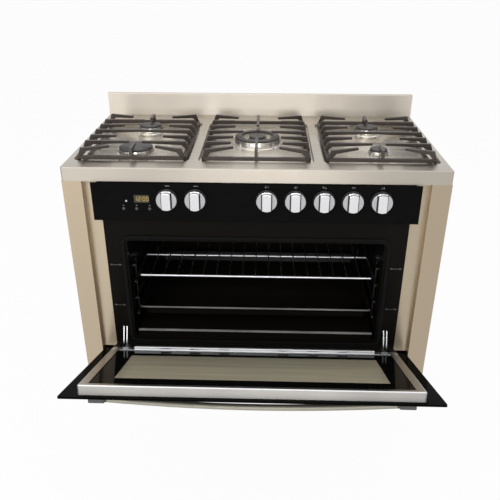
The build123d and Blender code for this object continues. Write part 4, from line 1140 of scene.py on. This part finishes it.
class COOKER_OT_stage(bpy.types.Operator):
    """Set the floor, the white room, the lamps and the camera"""

    bl_idname = "cooker.stage"
    bl_label = "Set the stage"

    def execute(self, context):
        scene, studio = context.scene, context.scene.cooker_studio
        self.floor(scene)
        self.room(scene, studio)
        self.lamp(scene, "key_lamp", place=(-1.7, -2.3, 1.95), size=(2.2, 2.2), power=studio.key)
        self.lamp(scene, "front_lamp", place=(0.04, -2.6, 1.2), size=(1.1, 0.5), power=studio.front)
        self.lamp(scene, "fill_lamp", place=(2.1, -1.9, 1.7), size=(2.0, 2.0), power=studio.fill)
        self.lamp(scene, "top_lamp", place=(0.1, 0.4, 2.9), size=(3.0, 3.0), power=studio.top)
        self.camera(scene, studio)
        scene.view_settings.view_transform = "Standard"
        return {"FINISHED"}

    def floor(self, scene):
        """A pale floor that keeps a trace of the cooker's shadow."""
        mesh = bpy.data.meshes.new("floor")
        shape = bmesh.new()
        bmesh.ops.create_grid(shape, x_segments=4, y_segments=4, size=FLOOR_REACH)
        shape.to_mesh(mesh)
        shape.free()
        finish = new_finish("floor_white")
        grey = finish.mix(finish.noise(FLOOR_CLOUDS), *FLOOR_GREYS)
        matt = finish.node("ShaderNodeBsdfDiffuse", {}, {"Color": grey})
        white = finish.node("ShaderNodeEmission", {}, {"Color": WHITE, "Strength": 1.0})
        glow = self.seen(finish) * FLOOR_GLOW
        both = finish.node("ShaderNodeMixShader", {}, {0: glow, 1: matt, 2: white})
        finish.node("ShaderNodeOutputMaterial", {}, {"Surface": both})
        mesh.materials.append(finish.owner)
        floor = bpy.data.objects.new("floor", mesh)
        scene.collection.objects.link(floor)

    def seen(self, finish):
        """One where the camera, a reflection or a look through glass meets the surface."""
        camera, glossy, through = (
            finish.node("ShaderNodeLightPath", output=ray)
            for ray in ("Is Camera Ray", "Is Glossy Ray", "Is Transmission Ray")
        )
        return camera.larger(glossy).larger(through)

    def room(self, scene, studio):
        """A room that looks white and lights the cooker softly from all round."""
        scene.world = bpy.data.worlds.new("white_room")
        finish = Finish(scene.world)
        seen = self.seen(finish)
        strength = seen + (1.0 - seen) * studio.room
        glow = finish.node("ShaderNodeBackground", {}, {"Color": WHITE, "Strength": strength})
        finish.node("ShaderNodeOutputWorld", {}, {"Surface": glow})

    def lamp(self, scene, name, place, size, power):
        """A soft lamp that points at the cooker's middle."""
        data = bpy.data.lights.new(name, "AREA")
        data.shape = "RECTANGLE"
        data.size, data.size_y = size
        data.energy = power
        lamp = bpy.data.objects.new(name, data)
        scene.collection.objects.link(lamp)
        lamp.location = place
        aim = LAMP_AIM - Vector(place)
        lamp.rotation_euler = aim.to_track_quat("-Z", "Y").to_euler()

    def camera(self, scene, studio):
        """The camera, turned by its yaw, pitch and roll."""
        data = bpy.data.cameras.new("camera")
        data.lens = studio.lens
        data.sensor_width = SENSOR_WIDTH
        data.clip_end = VIEW_END
        camera = bpy.data.objects.new("camera", data)
        scene.collection.objects.link(camera)
        ahead = Vector((
            math.sin(studio.yaw) * math.cos(studio.pitch),
            math.cos(studio.yaw) * math.cos(studio.pitch),
            -math.sin(studio.pitch),
        ))
        level = ahead.cross(UPWARD).normalized()
        right = Matrix.Rotation(studio.roll, 3, ahead) @ level
        up = right.cross(ahead)
        turn = Matrix((right, up, -ahead)).transposed()
        camera.matrix_world = Matrix.Translation(Vector(studio.place)) @ turn.to_4x4()
        scene.camera = camera


# Add-on

OPERATORS = (
    COOKER_OT_cabinet,
    COOKER_OT_rear_screws,
    COOKER_OT_hob,
    COOKER_OT_controls,
    COOKER_OT_marks,
    COOKER_OT_clock,
    COOKER_OT_oven,
    COOKER_OT_seal_clips,
    COOKER_OT_door,
    COOKER_OT_drawer,
    COOKER_OT_stage,
)
SETTINGS = {
    "cooker_finishes": CookerFinishes,
    "cooker_details": CookerDetails,
    "cooker_studio": CookerStudio,
}


class COOKER_PT_sidebar(bpy.types.Panel):
    """The cooker's settings and steps"""

    bl_label = "Cooker"
    bl_space_type = "VIEW_3D"
    bl_region_type = "UI"
    bl_category = "Cooker"

    def draw(self, context):
        for name, group in SETTINGS.items():
            column = self.layout.column()
            for setting in group.__annotations__:
                column.prop(getattr(context.scene, name), setting)
        for operator in OPERATORS:
            self.layout.operator(operator.bl_idname)


def register():
    for group in SETTINGS.values():
        bpy.utils.register_class(group)
    for name, group in SETTINGS.items():
        setattr(bpy.types.Scene, name, bpy.props.PointerProperty(type=group))
    for operator in OPERATORS:
        bpy.utils.register_class(operator)
    bpy.utils.register_class(COOKER_PT_sidebar)


def unregister():
    bpy.utils.unregister_class(COOKER_PT_sidebar)
    for operator in reversed(OPERATORS):
        bpy.utils.unregister_class(operator)
    for name, group in SETTINGS.items():
        delattr(bpy.types.Scene, name)
        bpy.utils.unregister_class(group)


def main():
    register()
    bpy.ops.cooker.cabinet()
    bpy.ops.cooker.rear_screws()
    bpy.ops.cooker.hob()
    bpy.ops.cooker.controls()
    bpy.ops.cooker.marks()
    bpy.ops.cooker.clock()
    bpy.ops.cooker.oven()
    bpy.ops.cooker.seal_clips()
    bpy.ops.cooker.door()
    bpy.ops.cooker.drawer()
    bpy.ops.cooker.stage()


if __name__ == "__main__":
    main()
